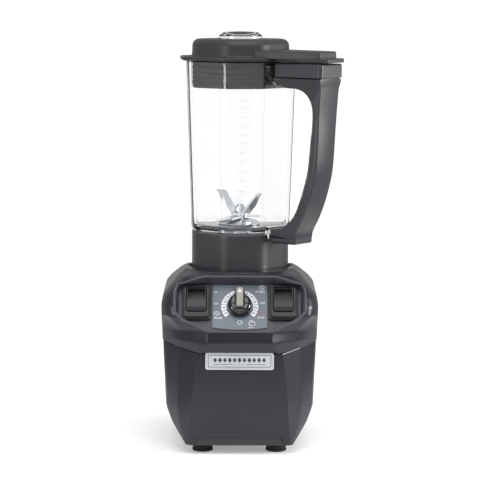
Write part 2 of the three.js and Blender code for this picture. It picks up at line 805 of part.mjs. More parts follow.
function lidBody() {
  const flange = prism(octagon(63, 65.2, 16), LID_FLANGE_BOTTOM, LID_FLANGE_TOP);
  const tongue = prism(roundedShape([
    [40, -19, 1], [127, -19, 3], [131, -14, 3], [131, 14, 3], [127, 19, 3], [40, 19, 1],
  ]), LID_FLANGE_BOTTOM, LID_FLANGE_TOP);
  const tab = prism(roundedShape([
    [30, -31, 1], [46, -31, 3], [120.5, -15, 2], [120.5, 15, 2], [46, 31, 3], [30, 31, 1],
  ]), LID_FLANGE_TOP - 1, 431);
  const dome = loft([
    { shape: octagon(50.6, 52.8), z: LID_FLANGE_BOTTOM + 1 },
    { shape: octagon(50.2, 52.4), z: LID_TOP - 8 },
    { shape: octagon(48.6, 50.6), z: LID_TOP - 2.6 },
    { shape: octagon(45.2, 47), z: LID_TOP },
  ]);
  const skirt = prism(octagon(49.6, 52.1), SKIRT_BOTTOM, LID_FLANGE_TOP);
  const hollow = loft([
    { shape: octagon(46.6, 49.1), z: SKIRT_BOTTOM - 5 },
    { shape: octagon(46.6, 48.8), z: LID_TOP - 9 },
    { shape: octagon(43, 45), z: LID_TOP - 3.5 },
  ]);
  const sleeve = ring(CUP_RADIUS + 4.2, CUP_RADIUS + 0.8, 420, LID_TOP - 1, 28);
  const shell = cut(joined(flange, tongue, tab, dome, skirt), hollow);
  return cut(shell.add(toSolid(sleeve)), disc(CUP_RADIUS + 0.7, 300, 500, 28));
}

function lidSeal() {
  const band = prism(octagon(51, 53.5), SKIRT_BOTTOM + 1.2, LID_FLANGE_BOTTOM - GAP);
  const ribs = [395, 405].map((z) => prism(octagon(52, 54.4), z, z + 2.2));
  return cut(joined(band, ...ribs), prism(octagon(49.9, 52.4), 300, 500));
}

function fillerCap() {
  return turned([
    [0, 446.4], [CUP_RADIUS - 2.4, 446.4], [CUP_RADIUS - 2, 412], [CUP_RADIUS, 412],
    [CUP_RADIUS, 442.8], [CAP_RADIUS, 442.8], [CAP_RADIUS, 445.6], [CAP_RADIUS - 3, 448.6],
    [CAP_RADIUS - 7, CAP_TOP], [0, CAP_TOP],
  ], 28);
}

function lidAssembly() {
  const group = new THREE.Group();
  group.rotation.z = HANDLE_ANGLE;
  group.add(
    part('lid', lidBody(), BLACK_PLASTIC),
    part('lid_seal', lidSeal(), RUBBER),
    part('filler_cap', fillerCap(), CLEAR),
  );
  return group;
}

// ---------------------------------------------------------------- whole blender

function baseAssembly() {
  const group = new THREE.Group();
  group.add(
    part('upper_housing', upperHousing(), CHARCOAL),
    part('lower_housing', lowerHousing(), CHARCOAL),
    part('bottom_cover', bottomCover(), BLACK_PLASTIC),
    part('control_tray', controlTray(), CHARCOAL),
    part('badge_plate', badgePlate(), STEEL),
    part('vent_grille', ventGrille(), BLACK_PLASTIC),
    part('cord_inlet', cordInlet(), RUBBER),
    feet(),
    controlPanel(),
    motor(),
  );
  return group;
}

const group = new THREE.Group();
group.add(baseAssembly(), jarAssembly(), lidAssembly());

const extent = new THREE.Box3().setFromObject(group, true);
const middle = extent.getCenter(new THREE.Vector3());
group.position.set(-middle.x, -middle.y, -extent.min.z);
group.updateMatrixWorld(true);

export default group;
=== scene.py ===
"""Countertop blender: fine shapes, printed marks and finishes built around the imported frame.

Shapes are made in millimetres from the motor axis: X right, Y to the back, Z up.
place() moves a finished shape into the frame, in metres.
"""
import math

import bmesh
import bpy
import numpy as np
from mathutils import Matrix, Vector


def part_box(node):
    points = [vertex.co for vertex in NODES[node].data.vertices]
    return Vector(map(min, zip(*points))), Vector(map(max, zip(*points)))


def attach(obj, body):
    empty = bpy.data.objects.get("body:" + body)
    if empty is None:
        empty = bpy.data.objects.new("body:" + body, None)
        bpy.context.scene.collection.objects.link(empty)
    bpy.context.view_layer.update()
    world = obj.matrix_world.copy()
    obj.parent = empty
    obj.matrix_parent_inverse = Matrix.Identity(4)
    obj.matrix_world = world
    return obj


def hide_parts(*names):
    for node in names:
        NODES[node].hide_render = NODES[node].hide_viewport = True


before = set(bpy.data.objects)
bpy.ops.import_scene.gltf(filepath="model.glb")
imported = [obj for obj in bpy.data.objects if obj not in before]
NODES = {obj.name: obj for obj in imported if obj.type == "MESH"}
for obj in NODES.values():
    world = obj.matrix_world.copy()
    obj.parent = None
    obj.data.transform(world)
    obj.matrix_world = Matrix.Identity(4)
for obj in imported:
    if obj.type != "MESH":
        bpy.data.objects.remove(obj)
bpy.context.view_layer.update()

low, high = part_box("motor_shaft")
AXIS = Vector(((low.x + high.x) / 2, (low.y + high.y) / 2, 0.0))
TO_FRAME = Matrix.Translation(AXIS) @ Matrix.Scale(0.001, 4)

DEG = math.pi / 180
PANEL_TILT = 53 * DEG
PANEL = Matrix.Translation((0, -83.3, 159.2)) @ Matrix.Rotation(PANEL_TILT, 4, "X")
HANDLE_ANGLE = -40 * DEG
JAR = Matrix.Rotation(HANDLE_ANGLE, 4, "Z")
PADDLE_X = 46.3
PADDLE_V = 3.5
WALL = 3.0
# Height of a capital letter as a share of Blender's font size.
CAPITAL_SHARE = 0.7


# ---------- mesh tools


def add_object(name, data):
    obj = bpy.data.objects.new(name, data)
    bpy.context.scene.collection.objects.link(obj)
    return obj


def make_object(name, vertices, faces):
    mesh = bpy.data.meshes.new(name)
    mesh.from_pydata([tuple(v) for v in vertices], [], faces)
    return add_object(name, mesh)


def clean(obj):
    """Merges coincident points and turns all faces outwards."""
    bm = bmesh.new()
    bm.from_mesh(obj.data)
    bmesh.ops.remove_doubles(bm, verts=bm.verts, dist=1e-3)
    bmesh.ops.dissolve_degenerate(bm, edges=bm.edges, dist=1e-4)
    bmesh.ops.recalc_face_normals(bm, faces=bm.faces)
    bm.to_mesh(obj.data)
    bm.free()
    return obj


def evaluated_mesh(obj):
    graph = bpy.context.evaluated_depsgraph_get()
    graph.update()
    return bpy.data.meshes.new_from_object(obj.evaluated_get(graph))


def apply_modifiers(obj):
    mesh = evaluated_mesh(obj)
    obj.modifiers.clear()
    old = obj.data
    obj.data = mesh
    bpy.data.meshes.remove(old)
    return obj


def bevel(obj, width, segments=3, angle=30):
    modifier = obj.modifiers.new("bevel", "BEVEL")
    modifier.width = width
    modifier.segments = segments
    modifier.limit_method = "ANGLE"
    modifier.angle_limit = angle * DEG
    return apply_modifiers(obj)


def combine(obj, tools, operation):
    for tool in tools:
        modifier = obj.modifiers.new("boolean", "BOOLEAN")
        modifier.operation = operation
        modifier.solver = "EXACT"
        modifier.object = tool
        apply_modifiers(obj)
        bpy.data.objects.remove(tool)
    return clean(obj)


def cut(obj, *tools):
    return combine(obj, tools, "DIFFERENCE")


def fuse(obj, *tools):
    return combine(obj, tools, "UNION")


def merge(name, *objects):
    """One object holding several meshes side by side."""
    vertices, faces = [], []
    for obj in objects:
        start = len(vertices)
        vertices += [tuple(v.co) for v in obj.data.vertices]
        faces += [[start + i for i in p.vertices] for p in obj.data.polygons]
        bpy.data.objects.remove(obj)
    return make_object(name, vertices, faces)


def skin(name, rings, wrap=False, caps=False):
    """Quads between rings of equal length. wrap joins the last ring to the first."""
    count = len(rings[0])
    vertices = np.concatenate([np.asarray(r, float) for r in rings])
    faces = []
    total = len(rings)
    for r in range(total if wrap else total - 1):
        s = (r + 1) % total
        for i in range(count):
            j = (i + 1) % count
            faces.append((r * count + i, r * count + j, s * count + j, s * count + i))
    if caps:
        faces.append(tuple(range(count))[::-1])
        faces.append(tuple((total - 1) * count + i for i in range(count)))
    return clean(make_object(name, vertices, faces))


def lathe(name, profile, segments=48, wrap=False):
    """Body of revolution about Z from a profile of (radius, z)."""
    rings = []
    for radius, z in profile:
        radius = max(radius, 1e-5)
        rings.append([
            (radius * math.cos(a), radius * math.sin(a), z)
            for a in np.linspace(0, 2 * math.pi, segments, endpoint=False)
        ])
    return skin(name, rings, wrap=wrap, caps=not wrap)


def rounded(corners, radii, steps=6, runs=1):
    """Closed outline with a circular arc at each corner; equal settings give matching points."""
    corners = np.asarray(corners, float)
    count = len(corners)
    radii = np.broadcast_to(radii, count)
    arcs = []
    for i in range(count):
        before = corners[i - 1] - corners[i]
        after = corners[(i + 1) % count] - corners[i]
        long_before, long_after = np.linalg.norm(before), np.linalg.norm(after)
        before, after = before / long_before, after / long_after
        half = math.acos(float(np.clip(before @ after, -1, 1))) / 2
        reach = min(radii[i] / max(math.tan(half), 1e-6), 0.48 * long_before, 0.48 * long_after)
        start, end = corners[i] + before * reach, corners[i] + after * reach
        weight = math.sin(half)
        arc = []
        for u in np.linspace(0, 1, steps + 1):
            a, b, c = (1 - u) ** 2, 2 * weight * u * (1 - u), u * u
            arc.append((a * start + b * corners[i] + c * end) / (a + b + c))
        arcs.append(arc)
    points = []
    for i, arc in enumerate(arcs):
        points += arc
        following = arcs[(i + 1) % count][0]
        for u in np.linspace(0, 1, runs + 1)[1:-1]:
            points.append(arc[-1] * (1 - u) + following * u)
    return np.array(points)


def corners_of(left, right, bottom, top):
    return [(left, bottom), (right, bottom), (right, top), (left, top)]


def box_outline(width, height, radius, steps=5, runs=1):
    x, y = width / 2, height / 2
    return rounded(corners_of(-x, x, -y, y), radius, steps, runs)


def mirrored(half, radii, steps, runs):
    """Rounded outline from the corners of its right half."""
    full = half + [(-x, y) for x, y in reversed(half)]
    return rounded(full, radii + radii[::-1], steps, runs)


def octagon(main, corner, radius=14, steps=7, runs=5):
    """Square with cut corners: flats at distance main, corner faces at distance corner."""
    half = math.sqrt(2) * corner - main
    corners = []
    for quarter in range(4):
        angle = quarter * math.pi / 2
        for side in (-half, half):
            corners.append((
                main * math.cos(angle) - side * math.sin(angle),
                main * math.sin(angle) + side * math.cos(angle),
            ))
    return rounded(corners, radius, steps, runs)


def left_of(points, closed=True):
    """Unit vectors in the XY plane to the left of the way along a line of points."""
    if closed:
        along = np.roll(points, -1, 0) - np.roll(points, 1, 0)
    else:
        along = np.gradient(points, axis=0)
    along /= np.maximum(np.linalg.norm(along, axis=1, keepdims=True), 1e-9)
    return np.stack([-along[:, 1], along[:, 0]], 1)


def inset(points, distance):
    """Moves a closed counter-clockwise outline inwards."""
    return points + left_of(points) * distance


def level(points, z):
    return np.column_stack([points, np.broadcast_to(z, len(points))])


def stack(outline, *steps):
    """Levels of one outline, each from how far it is moved inwards and its height."""
    return [level(inset(outline, shrink), z) for shrink, z in steps]


def circles(outline, *sizes):
    """Round levels of (radius, z) with points at the same angles as an outline's points."""
    angles = np.arctan2(outline[:, 1], outline[:, 0])
    around = np.column_stack([np.cos(angles), np.sin(angles)])
    return [level(radius * around, z) for radius, z in sizes]


def quarter_round(outline, radius, z, steps, rise, first=0):
    """Levels that curve inwards by radius while their height changes from z by rise."""
    turns = np.linspace(0, math.pi / 2, steps + 1)[first:]
    return stack(outline, *[(radius * (1 - math.cos(a)), z + rise * math.sin(a)) for a in turns])


def prism(name, outline, bottom, top, edge=0.0, edge_bottom=None, steps=3):
    """Upright plate with rounded upper and lower edges."""
    edge_bottom = edge if edge_bottom is None else edge_bottom
    lower, upper = [level(outline, bottom)], [level(outline, top)]
    if edge_bottom > 0:
        lower = quarter_round(outline, edge_bottom, bottom + edge_bottom, steps, -edge_bottom)[::-1]
    if edge > 0:
        upper = quarter_round(outline, edge, top - edge, steps, edge)
    return skin(name, lower + upper, caps=True)


def block(name, width, depth, height, x, y, z):
    outline = box_outline(width, depth, 0.01, 1)
    obj = prism(name, outline, -height / 2, height / 2)
    return turned(obj, shift(x, y, z))


def cylinder(name, radius, bottom, top, segments):
    return lathe(name, [(0, bottom), (radius, bottom), (radius, top), (0, top)], segments)


def turned(obj, *matrices):
    for matrix in matrices:
        obj.data.transform(matrix)
    return obj


def spin(angle, axis="Z"):
    return Matrix.Rotation(angle * DEG, 4, axis)


def shift(x, y, z):
    return Matrix.Translation((x, y, z))


def lettering(name, words, size, x, y, z, weight, depth=0.05):
    """Flat raised text in the XY plane; size is the height of a capital."""
    curve = bpy.data.curves.new(name, "FONT")
    curve.body = words
    curve.align_x = "CENTER"
    curve.align_y = "CENTER"
    curve.size = size / CAPITAL_SHARE
    curve.offset = weight
    curve.extrude = depth
    curve.resolution_u = 3
    obj = add_object(name, curve)
    mesh = evaluated_mesh(obj)
    bpy.data.objects.remove(obj)
    mesh.transform(shift(x, y, z))
    return add_object(name, mesh)


def flat_shape(name, outline, z, depth=0.1):
    return prism(name, np.asarray(outline, float), z, z + depth)


def stroke(name, points, width, z, depth=0.1, closed=False):
    """Line of a given width through points in the XY plane."""
    points = np.asarray(points, float)
    side = left_of(points, closed) * width / 2
    sides = zip(points + side, points - side)
    rings = [[(*a, z), (*b, z), (*b, z + depth), (*a, z + depth)] for a, b in sides]
    return skin(name, rings, wrap=closed, caps=not closed)


def arc_points(radius, start, end, count=16, x=0.0, y=0.0):
    return [(x + radius * math.cos(a * DEG), y + radius * math.sin(a * DEG))
            for a in np.linspace(start, end, count)]


# ---------- materials


class Look:
    """Small helper for building one procedural material."""

    def __init__(self, name):
        self.material = bpy.data.materials.new(name)
        self.material.use_nodes = True
        self.tree = self.material.node_tree
        self.tree.nodes.clear()
        self.out = self.node("ShaderNodeOutputMaterial")
        self.shader = self.node("ShaderNodeBsdfPrincipled")
        self.link(self.shader.outputs[0], self.out.inputs["Surface"])
        self.coords = self.node("ShaderNodeTexCoord").outputs["Object"]

    def node(self, kind, **settings):
        node = self.tree.nodes.new(kind)
        for key, value in settings.items():
            setattr(node, key, value)
        return node

    def link(self, a, b):
        self.tree.links.new(a, b)

    def set(self, **values):
        for key, value in values.items():
            self.shader.inputs[key.replace("_", " ")].default_value = value

    def noise(self, scale, detail=3.0, roughness=0.5, stretch=(1, 1, 1)):
        mapping = self.node("ShaderNodeMapping")
        mapping.inputs["Scale"].default_value = stretch
        self.link(self.coords, mapping.inputs["Vector"])
        noise = self.node("ShaderNodeTexNoise")
        for key, number in zip(("Scale", "Detail", "Roughness"), (scale, detail, roughness)):
            noise.inputs[key].default_value = number
        self.link(mapping.outputs[0], noise.inputs["Vector"])
        return noise.outputs["Fac"]

    def ramp(self, value, *stops):
        ramp = self.node("ShaderNodeValToRGB")
        elements = ramp.color_ramp.elements
        while len(elements) < len(stops):
            elements.new(0.5)
        for element, (position, colour) in zip(elements, stops):
            element.position = position
            element.color = (*colour, 1)
        self.link(value, ramp.inputs["Fac"])
        return ramp.outputs["Color"]

    def spread(self, value, *limits):
        """Maps a value from its low and high limits to a new low and high."""
        node = self.node("ShaderNodeMapRange")
        self.link(value, node.inputs["Value"])
        for key, number in zip(("From Min", "From Max", "To Min", "To Max"), limits):
            node.inputs[key].default_value = number
        return node.outputs["Result"]

    def math(self, operation, a, b):
        node = self.node("ShaderNodeMath", operation=operation)
        for socket, value in zip(node.inputs, (a, b)):
            if isinstance(value, (int, float)):
                socket.default_value = value
            else:
                self.link(value, socket)
        return node.outputs[0]

    def mix(self, factor, base, colour):
        """Lays one plain colour over the base by the factor."""
        node = self.node("ShaderNodeMix", data_type="RGBA")
        sockets = {socket.name: socket for socket in node.inputs if socket.enabled}
        self.link(factor, sockets["Factor"])
        self.link(base, sockets["A"])
        sockets["B"].default_value = (*colour, 1)
        return next(socket for socket in node.outputs if socket.enabled)

    def edges(self, low, high):
        """1 on worn convex edges, 0 elsewhere."""
        pointiness = self.node("ShaderNodeNewGeometry").outputs["Pointiness"]
        return self.spread(pointiness, low, high, 0, 1)

    def bump(self, height, distance, strength, under=None):
        node = self.node("ShaderNodeBump")
        node.inputs["Strength"].default_value = strength
        node.inputs["Distance"].default_value = distance
        self.link(height, node.inputs["Height"])
        if under is not None:
            self.link(under, node.inputs["Normal"])
        return node.outputs["Normal"]

    def feed(self, **outputs):
        """Links node outputs to the shader's sockets."""
        for key, output in outputs.items():
            self.link(output, self.shader.inputs[key.replace("_", " ")])


def srgb(r, g, b):
    return tuple(
        c / 255 / 12.92 if c / 255 <= 0.04045 else ((c / 255 + 0.055) / 1.055) ** 2.4
        for c in (r, g, b)
    )


def scaled(colour, factor, extra=0.0):
    return tuple(min(1, c * factor + extra) for c in colour)


def moulded(name, colour, rough, grain=0.00002, worn=1.3, shade=0.08, **sockets):
    """Injection-moulded plastic: fine spark-eroded grain, faint handling marks, rubbed edges."""
    look = Look(name)
    cloud = look.noise(22, 4, 0.6)
    body = look.ramp(cloud, (0.3, scaled(colour, 1 - shade)), (0.7, scaled(colour, 1 + shade)))
    dust = look.spread(look.noise(420, 5, 0.7), 0.5, 0.8, 0, 0.15)
    body = look.mix(dust, body, scaled(colour, 1.2, 0.002))
    patches = look.spread(look.noise(90, 3), 0.4, 0.65, 0.1, 0.6)
    rub = look.math("MULTIPLY", look.edges(0.56, 0.8), patches)
    body = look.mix(rub, body, scaled(colour, worn, 0.004))
    look.feed(Base_Color=body)
    smudge = look.noise(30, 2)
    look.feed(Roughness=look.spread(smudge, 0.3, 0.7, rough - 0.012, rough + 0.018))
    wave = look.bump(look.noise(9, 1), 0.0004, 0.05)
    look.feed(Normal=look.bump(look.noise(1500, 3, 0.6), grain, 0.4, wave))
    look.set(**sockets)
    return look.material


def rubber(name, colour):
    look = Look(name)
    speck = look.noise(900, 4, 0.7)
    look.feed(Base_Color=look.ramp(speck, (0.35, scaled(colour, 0.8)), (0.75, scaled(colour, 1.35))))
    look.feed(Roughness=look.spread(look.noise(60, 3), 0.3, 0.7, 0.62, 0.8))
    look.feed(Normal=look.bump(speck, 0.00008, 0.5))
    look.set(Specular_IOR_Level=0.35)
    return look.material


def metal(name, colour, rough, stretch=(1, 1, 1), scale=900, scratch=0.00002, metallic=1.0):
    """Machined or brushed metal; stretch sets the direction of the brushing."""
    look = Look(name)
    grain = look.noise(scale, 4, 0.7, stretch)
    broad = look.noise(30, 3, 0.5)
    tone = look.math("ADD", look.math("MULTIPLY", grain, 0.6), look.math("MULTIPLY", broad, 0.4))
    look.feed(Base_Color=look.ramp(tone, (0.3, scaled(colour, 0.75)), (0.7, colour)))
    look.feed(Roughness=look.spread(tone, 0.3, 0.7, rough - 0.06, rough + 0.1))
    look.feed(Normal=look.bump(grain, scratch, 0.4))
    look.set(Metallic=metallic)
    return look.material


def clear(name, tint, rough, density):
    """Clear moulded plastic with faint scuffs, which lets lamp light through."""
    look = Look(name)
    look.set(Base_Color=(*tint, 1), Transmission_Weight=1.0, IOR=1.5)
    scuff = look.noise(500, 4, 0.8, (1, 1, 0.12))
    look.feed(Roughness=look.spread(scuff, 0.55, 0.8, rough, rough + 0.12))
    look.feed(Normal=look.bump(look.noise(26, 2), 0.0005, 0.08))
    body = look.node("ShaderNodeVolumeAbsorption")
    body.inputs["Color"].default_value = (0.62, 0.68, 0.7, 1)
    body.inputs["Density"].default_value = density
    look.link(body.outputs[0], look.out.inputs["Volume"])
    path = look.node("ShaderNodeLightPath")
    through = look.node("ShaderNodeBsdfTransparent")
    through.inputs["Color"].default_value = (*scaled(tint, 0.96), 1)
    mixed = look.node("ShaderNodeMixShader")
    look.link(path.outputs["Is Shadow Ray"], mixed.inputs["Fac"])
    look.link(look.shader.outputs[0], mixed.inputs[1])
    look.link(through.outputs[0], mixed.inputs[2])
    look.link(mixed.outputs[0], look.out.inputs["Surface"])
    return look.material


def printed(name, colour, rough):
    """Screen-printed ink with slight unevenness."""
    look = Look(name)
    blotch = look.noise(2600, 2, 0.5)
    look.feed(Base_Color=look.ramp(blotch, (0.3, scaled(colour, 0.93)), (0.6, colour)))
    look.feed(Roughness=look.spread(blotch, 0.3, 0.7, rough - 0.05, rough + 0.1))
    look.feed(Normal=look.bump(blotch, 0.00002, 0.3))
    return look.material


CHARCOAL = moulded("charcoal_plastic", srgb(33, 31, 38), 0.25, grain=0.000012,
                  Specular_IOR_Level=0.42, Specular_Tint=(0.9, 0.96, 1.0, 1))
COVER = moulded("cover_plastic", srgb(36, 35, 39), 0.34)
COLLAR = moulded("collar_plastic", srgb(52, 51, 55), 0.36, grain=0.00003)
LID = moulded("lid_plastic", srgb(52, 51, 54), 0.42, grain=0.00004, Specular_IOR_Level=0.34)
SATIN = moulded("handle_plastic", srgb(51, 50, 55), 0.34, grain=0.00003)
SWITCH = moulded("switch_plastic", srgb(50, 50, 54), 0.4, Specular_IOR_Level=0.3)
# Recess liner: the housing's charcoal plastic made much lighter, painted light standing in for light
# falling on the recess walls and lip.
LIT_RECESS = moulded("recess_plastic_painted_light", srgb(70, 69, 76), 0.4, Specular_IOR_Level=0.35)
GLOSS = moulded("knob_gloss", srgb(13, 13, 15), 0.1, grain=0.000004, shade=0.05,
                Coat_Weight=0.6, Coat_Roughness=0.05)
INNER = moulded("inner_plastic", srgb(30, 30, 32), 0.5)
INSERT = moulded("pointer_plastic", srgb(143, 142, 135), 0.35, worn=1.1)
LABEL = printed("label_film", srgb(102, 110, 121), 0.3)
INK = printed("white_ink", srgb(228, 233, 238), 0.4)
DARK_INK = printed("dark_ink", srgb(60, 66, 74), 0.5)
RED_INK = printed("red_ink", srgb(168, 110, 104), 0.5)
BADGE = metal("badge_metal", srgb(216, 219, 223), 0.36, (1, 12, 12), 500, metallic=0.55)
BADGE_INK = printed("badge_ink", srgb(52, 54, 58), 0.5)
RUBBER = rubber("black_rubber", srgb(24, 24, 25))
STEEL = metal("turned_steel", srgb(196, 199, 203), 0.25, (1, 1, 8), 700)
BLADE = metal("ground_steel", srgb(214, 216, 220), 0.17, (10, 1, 1), 800)
BRASS = metal("brass", srgb(196, 160, 92), 0.3)
COPPER = metal("copper_wire", srgb(186, 112, 66), 0.35, (1, 1, 14), 1200, 0.0001)
IRON = metal("iron_laminate", srgb(120, 122, 126), 0.45, (1, 1, 40), 500, 0.0001)
BOARD = moulded("circuit_board", srgb(40, 88, 54), 0.4)
CLEAR = clear("clear_copolyester", (0.985, 0.99, 0.99), 0.02, 9)
CAP_CLEAR = clear("clear_cap", (0.95, 0.955, 0.96), 0.04, 22)
COUPLING = moulded("coupling_black", srgb(28, 28, 30), 0.4)


def place(obj, name, material, body, stands_for=(), sharp=32):
    """Moves a finished millimetre mesh into the frame, gives it its look and its body."""
    obj.name = name
    obj.data.name = name
    obj.data.transform(TO_FRAME)
    obj.data.materials.clear()
    obj.data.materials.append(material)
    obj.data.shade_smooth()
    obj.data.set_sharp_from_angle(angle=sharp * DEG)
    weighted = obj.modifiers.new("weighted", "WEIGHTED_NORMAL")
    weighted.keep_sharp = True
    weighted.weight = 80
    apply_modifiers(obj)
    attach(obj, body)
    if stands_for:
        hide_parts(*stands_for)
    return obj


# ---------- base skin

# The rear of the rim sinks by REAR_FALL of its distance behind the axis, from FALL_START up.
REAR_FALL = 0.1
FALL_START = 176
RIM_TOP = 195.0
SEAM = 120.5
# The rings of the upper housing follow the seam up to here and are level above it.
ABOVE_SEAM = 125
SEAT_RADIUS = 57.0
SEAT_FLOOR = 188.0

# z, half flat, front, brow x, brow y, half side, flank, rear flank, rear flat, rear
UPPER = np.array([
    (104, 44.5, 99.3, 64, 81, 82.9, 59.5, 58, 52, 95.8),
    (114, 40, 104.5, 64, 85, 83.2, 61, 58, 52, 96),
    (123.7, 34, 111, 62, 90, 83.4, 64, 58, 52, 96.3),
    (136, 34, 108.8, 62, 90, 83.6, 69, 58, 52, 96.3),
    (150, 56, 101.7, 76, 91, 83.9, 76, 58, 52, 96),
    (160, 64, 96, 78, 88, 84.2, 74, 58, 52, 95.5),
    (170, 66, 90.2, 77.6, 82, 82.6, 68, 56, 52, 93.5),
    (181, 60, 84, 70, 77, 74, 62, 52, 50, 88),
    (190.4, 48, 78.5, 58.5, 70, 65.4, 50, 46, 44, 79),
    (195, 32, 70.5, 46, 59, 59, 38, 34, 30, 66),
])
LOWER = np.array([
    (10, 53.6, 90, 55.6, 89, 57.6, 87, 84, 51, 90),
    (20, 53.8, 93, 59.6, 88.6, 64.8, 80.4, 77.4, 52, 92),
    (33, 53, 95.6, 63.8, 86.6, 73.2, 71, 68, 53, 94),
    (48.5, 51.8, 97, 66.2, 84.6, 79.6, 63.6, 61, 53, 95),
    (62, 51, 97.5, 66, 83.4, 80.3, 62.3, 60, 53, 95.5),
    (123.5, 44, 99.8, 64, 80.5, 83, 59.5, 58, 52, 96),
])
UPPER_RADII = [4, 18, 14, 22, 22]
LOWER_RADII = [2.2, 20, 14, 22, 22]


def read_levels(levels, z, soften=2.2):
    """Sizes at height z, with each crease between levels rounded over a few millimetres."""
    total, weights = 0, 0
    for offset in np.linspace(-soften, soften, 9):
        weight = 1 - abs(offset) / (soften * 1.15)
        h = z + offset
        k = int(np.clip(np.searchsorted(levels[:, 0], h) - 1, 0, len(levels) - 2))
        a, b = levels[k], levels[k + 1]
        u = (h - a[0]) / (b[0] - a[0])
        total = total + weight * (a[1:] + (b[1:] - a[1:]) * u)
        weights += weight
    return total / weights


def base_outline(levels, radii, z):
    flat, front, brow_x, brow_y, side, flank, rear_flank, rear_flat, rear = read_levels(levels, z)
    right = [(flat, -front), (brow_x, -brow_y), (side, -flank), (side, rear_flank), (rear_flat, rear)]
    return mirrored(right, radii, 6, 6)


class BaseSkin:
    """Outer surface of one housing, read at any height for each point round it."""

    def __init__(self, levels, radii, bottom, top):
        self.heights = np.arange(bottom, top + 0.51, 0.5)
        self.table = np.array([base_outline(levels, radii, z) for z in self.heights])

    def at(self, z):
        count = self.table.shape[1]
        z = np.broadcast_to(np.asarray(z, float), count)
        place_in = np.clip((z - self.heights[0]) / 0.5, 0, len(self.heights) - 1.001)
        k = place_in.astype(int)
        u = (place_in - k)[:, None]
        index = np.arange(count)
        return self.table[k, index] * (1 - u) + self.table[k + 1, index] * u

    def ring(self, z, shrink=0.0):
        return level(inset(self.at(z), shrink), z)

    def front_y(self, x, z):
        """Y of the front face at a given X and Z."""
        points = self.at(z)
        front = points[points[:, 1] < 0]
        front = front[np.argsort(front[:, 0])]
        return float(np.interp(x, front[:, 0], front[:, 1]))

    def front_normal(self, x, z, d=0.4):
        slope_x = (self.front_y(x + d, z) - self.front_y(x - d, z)) / (2 * d)
        slope_z = (self.front_y(x, z + d) - self.front_y(x, z - d)) / (2 * d)
        return Vector((slope_x, -1, slope_z)).normalized(), slope_x, slope_z


def seam_height(x, y):
    """Height of the line where the two housings meet."""
    t = np.linspace(0, 1, 60)
    curve_x = (1 - t) ** 2 * 84 + 2 * t * (1 - t) * 64 + t ** 2 * 43
    curve_z = (1 - t) ** 2 * SEAM + 2 * t * (1 - t) * 115.6 + t ** 2 * 111.6
    height = np.interp(np.abs(x), curve_x[::-1], curve_z[::-1])
    rise_x = [38, 39.5, 41.5, 43]
    rise_z = [113, 112.8, 111.8, 111.6]
    height = np.where(np.abs(x) < 43, np.interp(np.abs(x), rise_x, rise_z), height)
    return np.where((y < 0) & (np.abs(x) < 84), height, SEAM)


upper_skin = BaseSkin(UPPER, UPPER_RADII, 104, 195)
lower_skin = BaseSkin(LOWER, LOWER_RADII, 9, ABOVE_SEAM)


def build_upper_housing():
    guess = upper_skin.at(112)
    seam = seam_height(guess[:, 0], guess[:, 1]) + 0.2
    start = seam + 0.7
    rings = [upper_skin.ring(seam + rise, shrink) for rise, shrink in ((0.3, WALL), (0, 0.7), (0.15, 0.2))]
    rings += [upper_skin.ring(start + (ABOVE_SEAM - start) * share) for share in np.linspace(0, 0.9, 10)]
    rings += [upper_skin.ring(z) for z in np.arange(ABOVE_SEAM + 0.25, RIM_TOP - 1.4, 1.25)]
    top = upper_skin.at(194.2)
    rings += quarter_round(top, 2.2, RIM_TOP - 1.6, 4, 1.6, first=1)
    rings += circles(
        inset(top, 2.6), (SEAT_RADIUS + 1.2, RIM_TOP), (SEAT_RADIUS + 0.35, RIM_TOP - 0.35),
        (SEAT_RADIUS, RIM_TOP - 1.2), (SEAT_RADIUS, SEAT_FLOOR + 1.5),
        (SEAT_RADIUS - 0.4, SEAT_FLOOR + 0.4), (SEAT_RADIUS - 1.5, SEAT_FLOOR), (40, SEAT_FLOOR),
        (26, SEAT_FLOOR), (13, SEAT_FLOOR), (12, SEAT_FLOOR - 0.6), (12, SEAT_FLOOR - 3),
        (30, SEAT_FLOOR - 3), (SEAT_RADIUS - 3, SEAT_FLOOR - 3))
    rings += [upper_skin.ring(z, WALL) for z in (184, 176, 160, 140, 124)]
    shell = skin("upper_shell", rings, wrap=True)
    for vertex in shell.data.vertices:
        x, y, z = vertex.co
        if y > 0 and z > FALL_START and math.hypot(x, y) > SEAT_RADIUS - 0.2:
            fallen = z - REAR_FALL * y * (z - FALL_START) / (RIM_TOP - FALL_START)
            beside_seat = math.hypot(x, y) < SEAT_RADIUS + 1.3
            vertex.co.z = max(fallen, min(z, SEAT_FLOOR + 1.5)) if beside_seat else fallen
    plug = [[(x, y, z) for x, z in MOUTH] for y in (-130, -64)]
    return cut(shell, skin("recess_plug", plug, caps=True))


# Recess of the control panel: its mouth in front view (x, z), its floor on the panel plane (x, v).
MOUTH = mirrored([(34, 137.2), (62, 148.4), (69.5, 156.1), (69.6, 176), (67.5, 182.5), (39.3, 191.0)],
                 [7, 9, 6, 5, 4, 7], 6, 7)
FLOOR = mirrored([(33, -29), (60.5, -19.4), (65.6, -10), (66, 18), (63.4, 25), (37.5, 26.6)],
                 [6, 8, 5, 4, 3, 6], 6, 7)


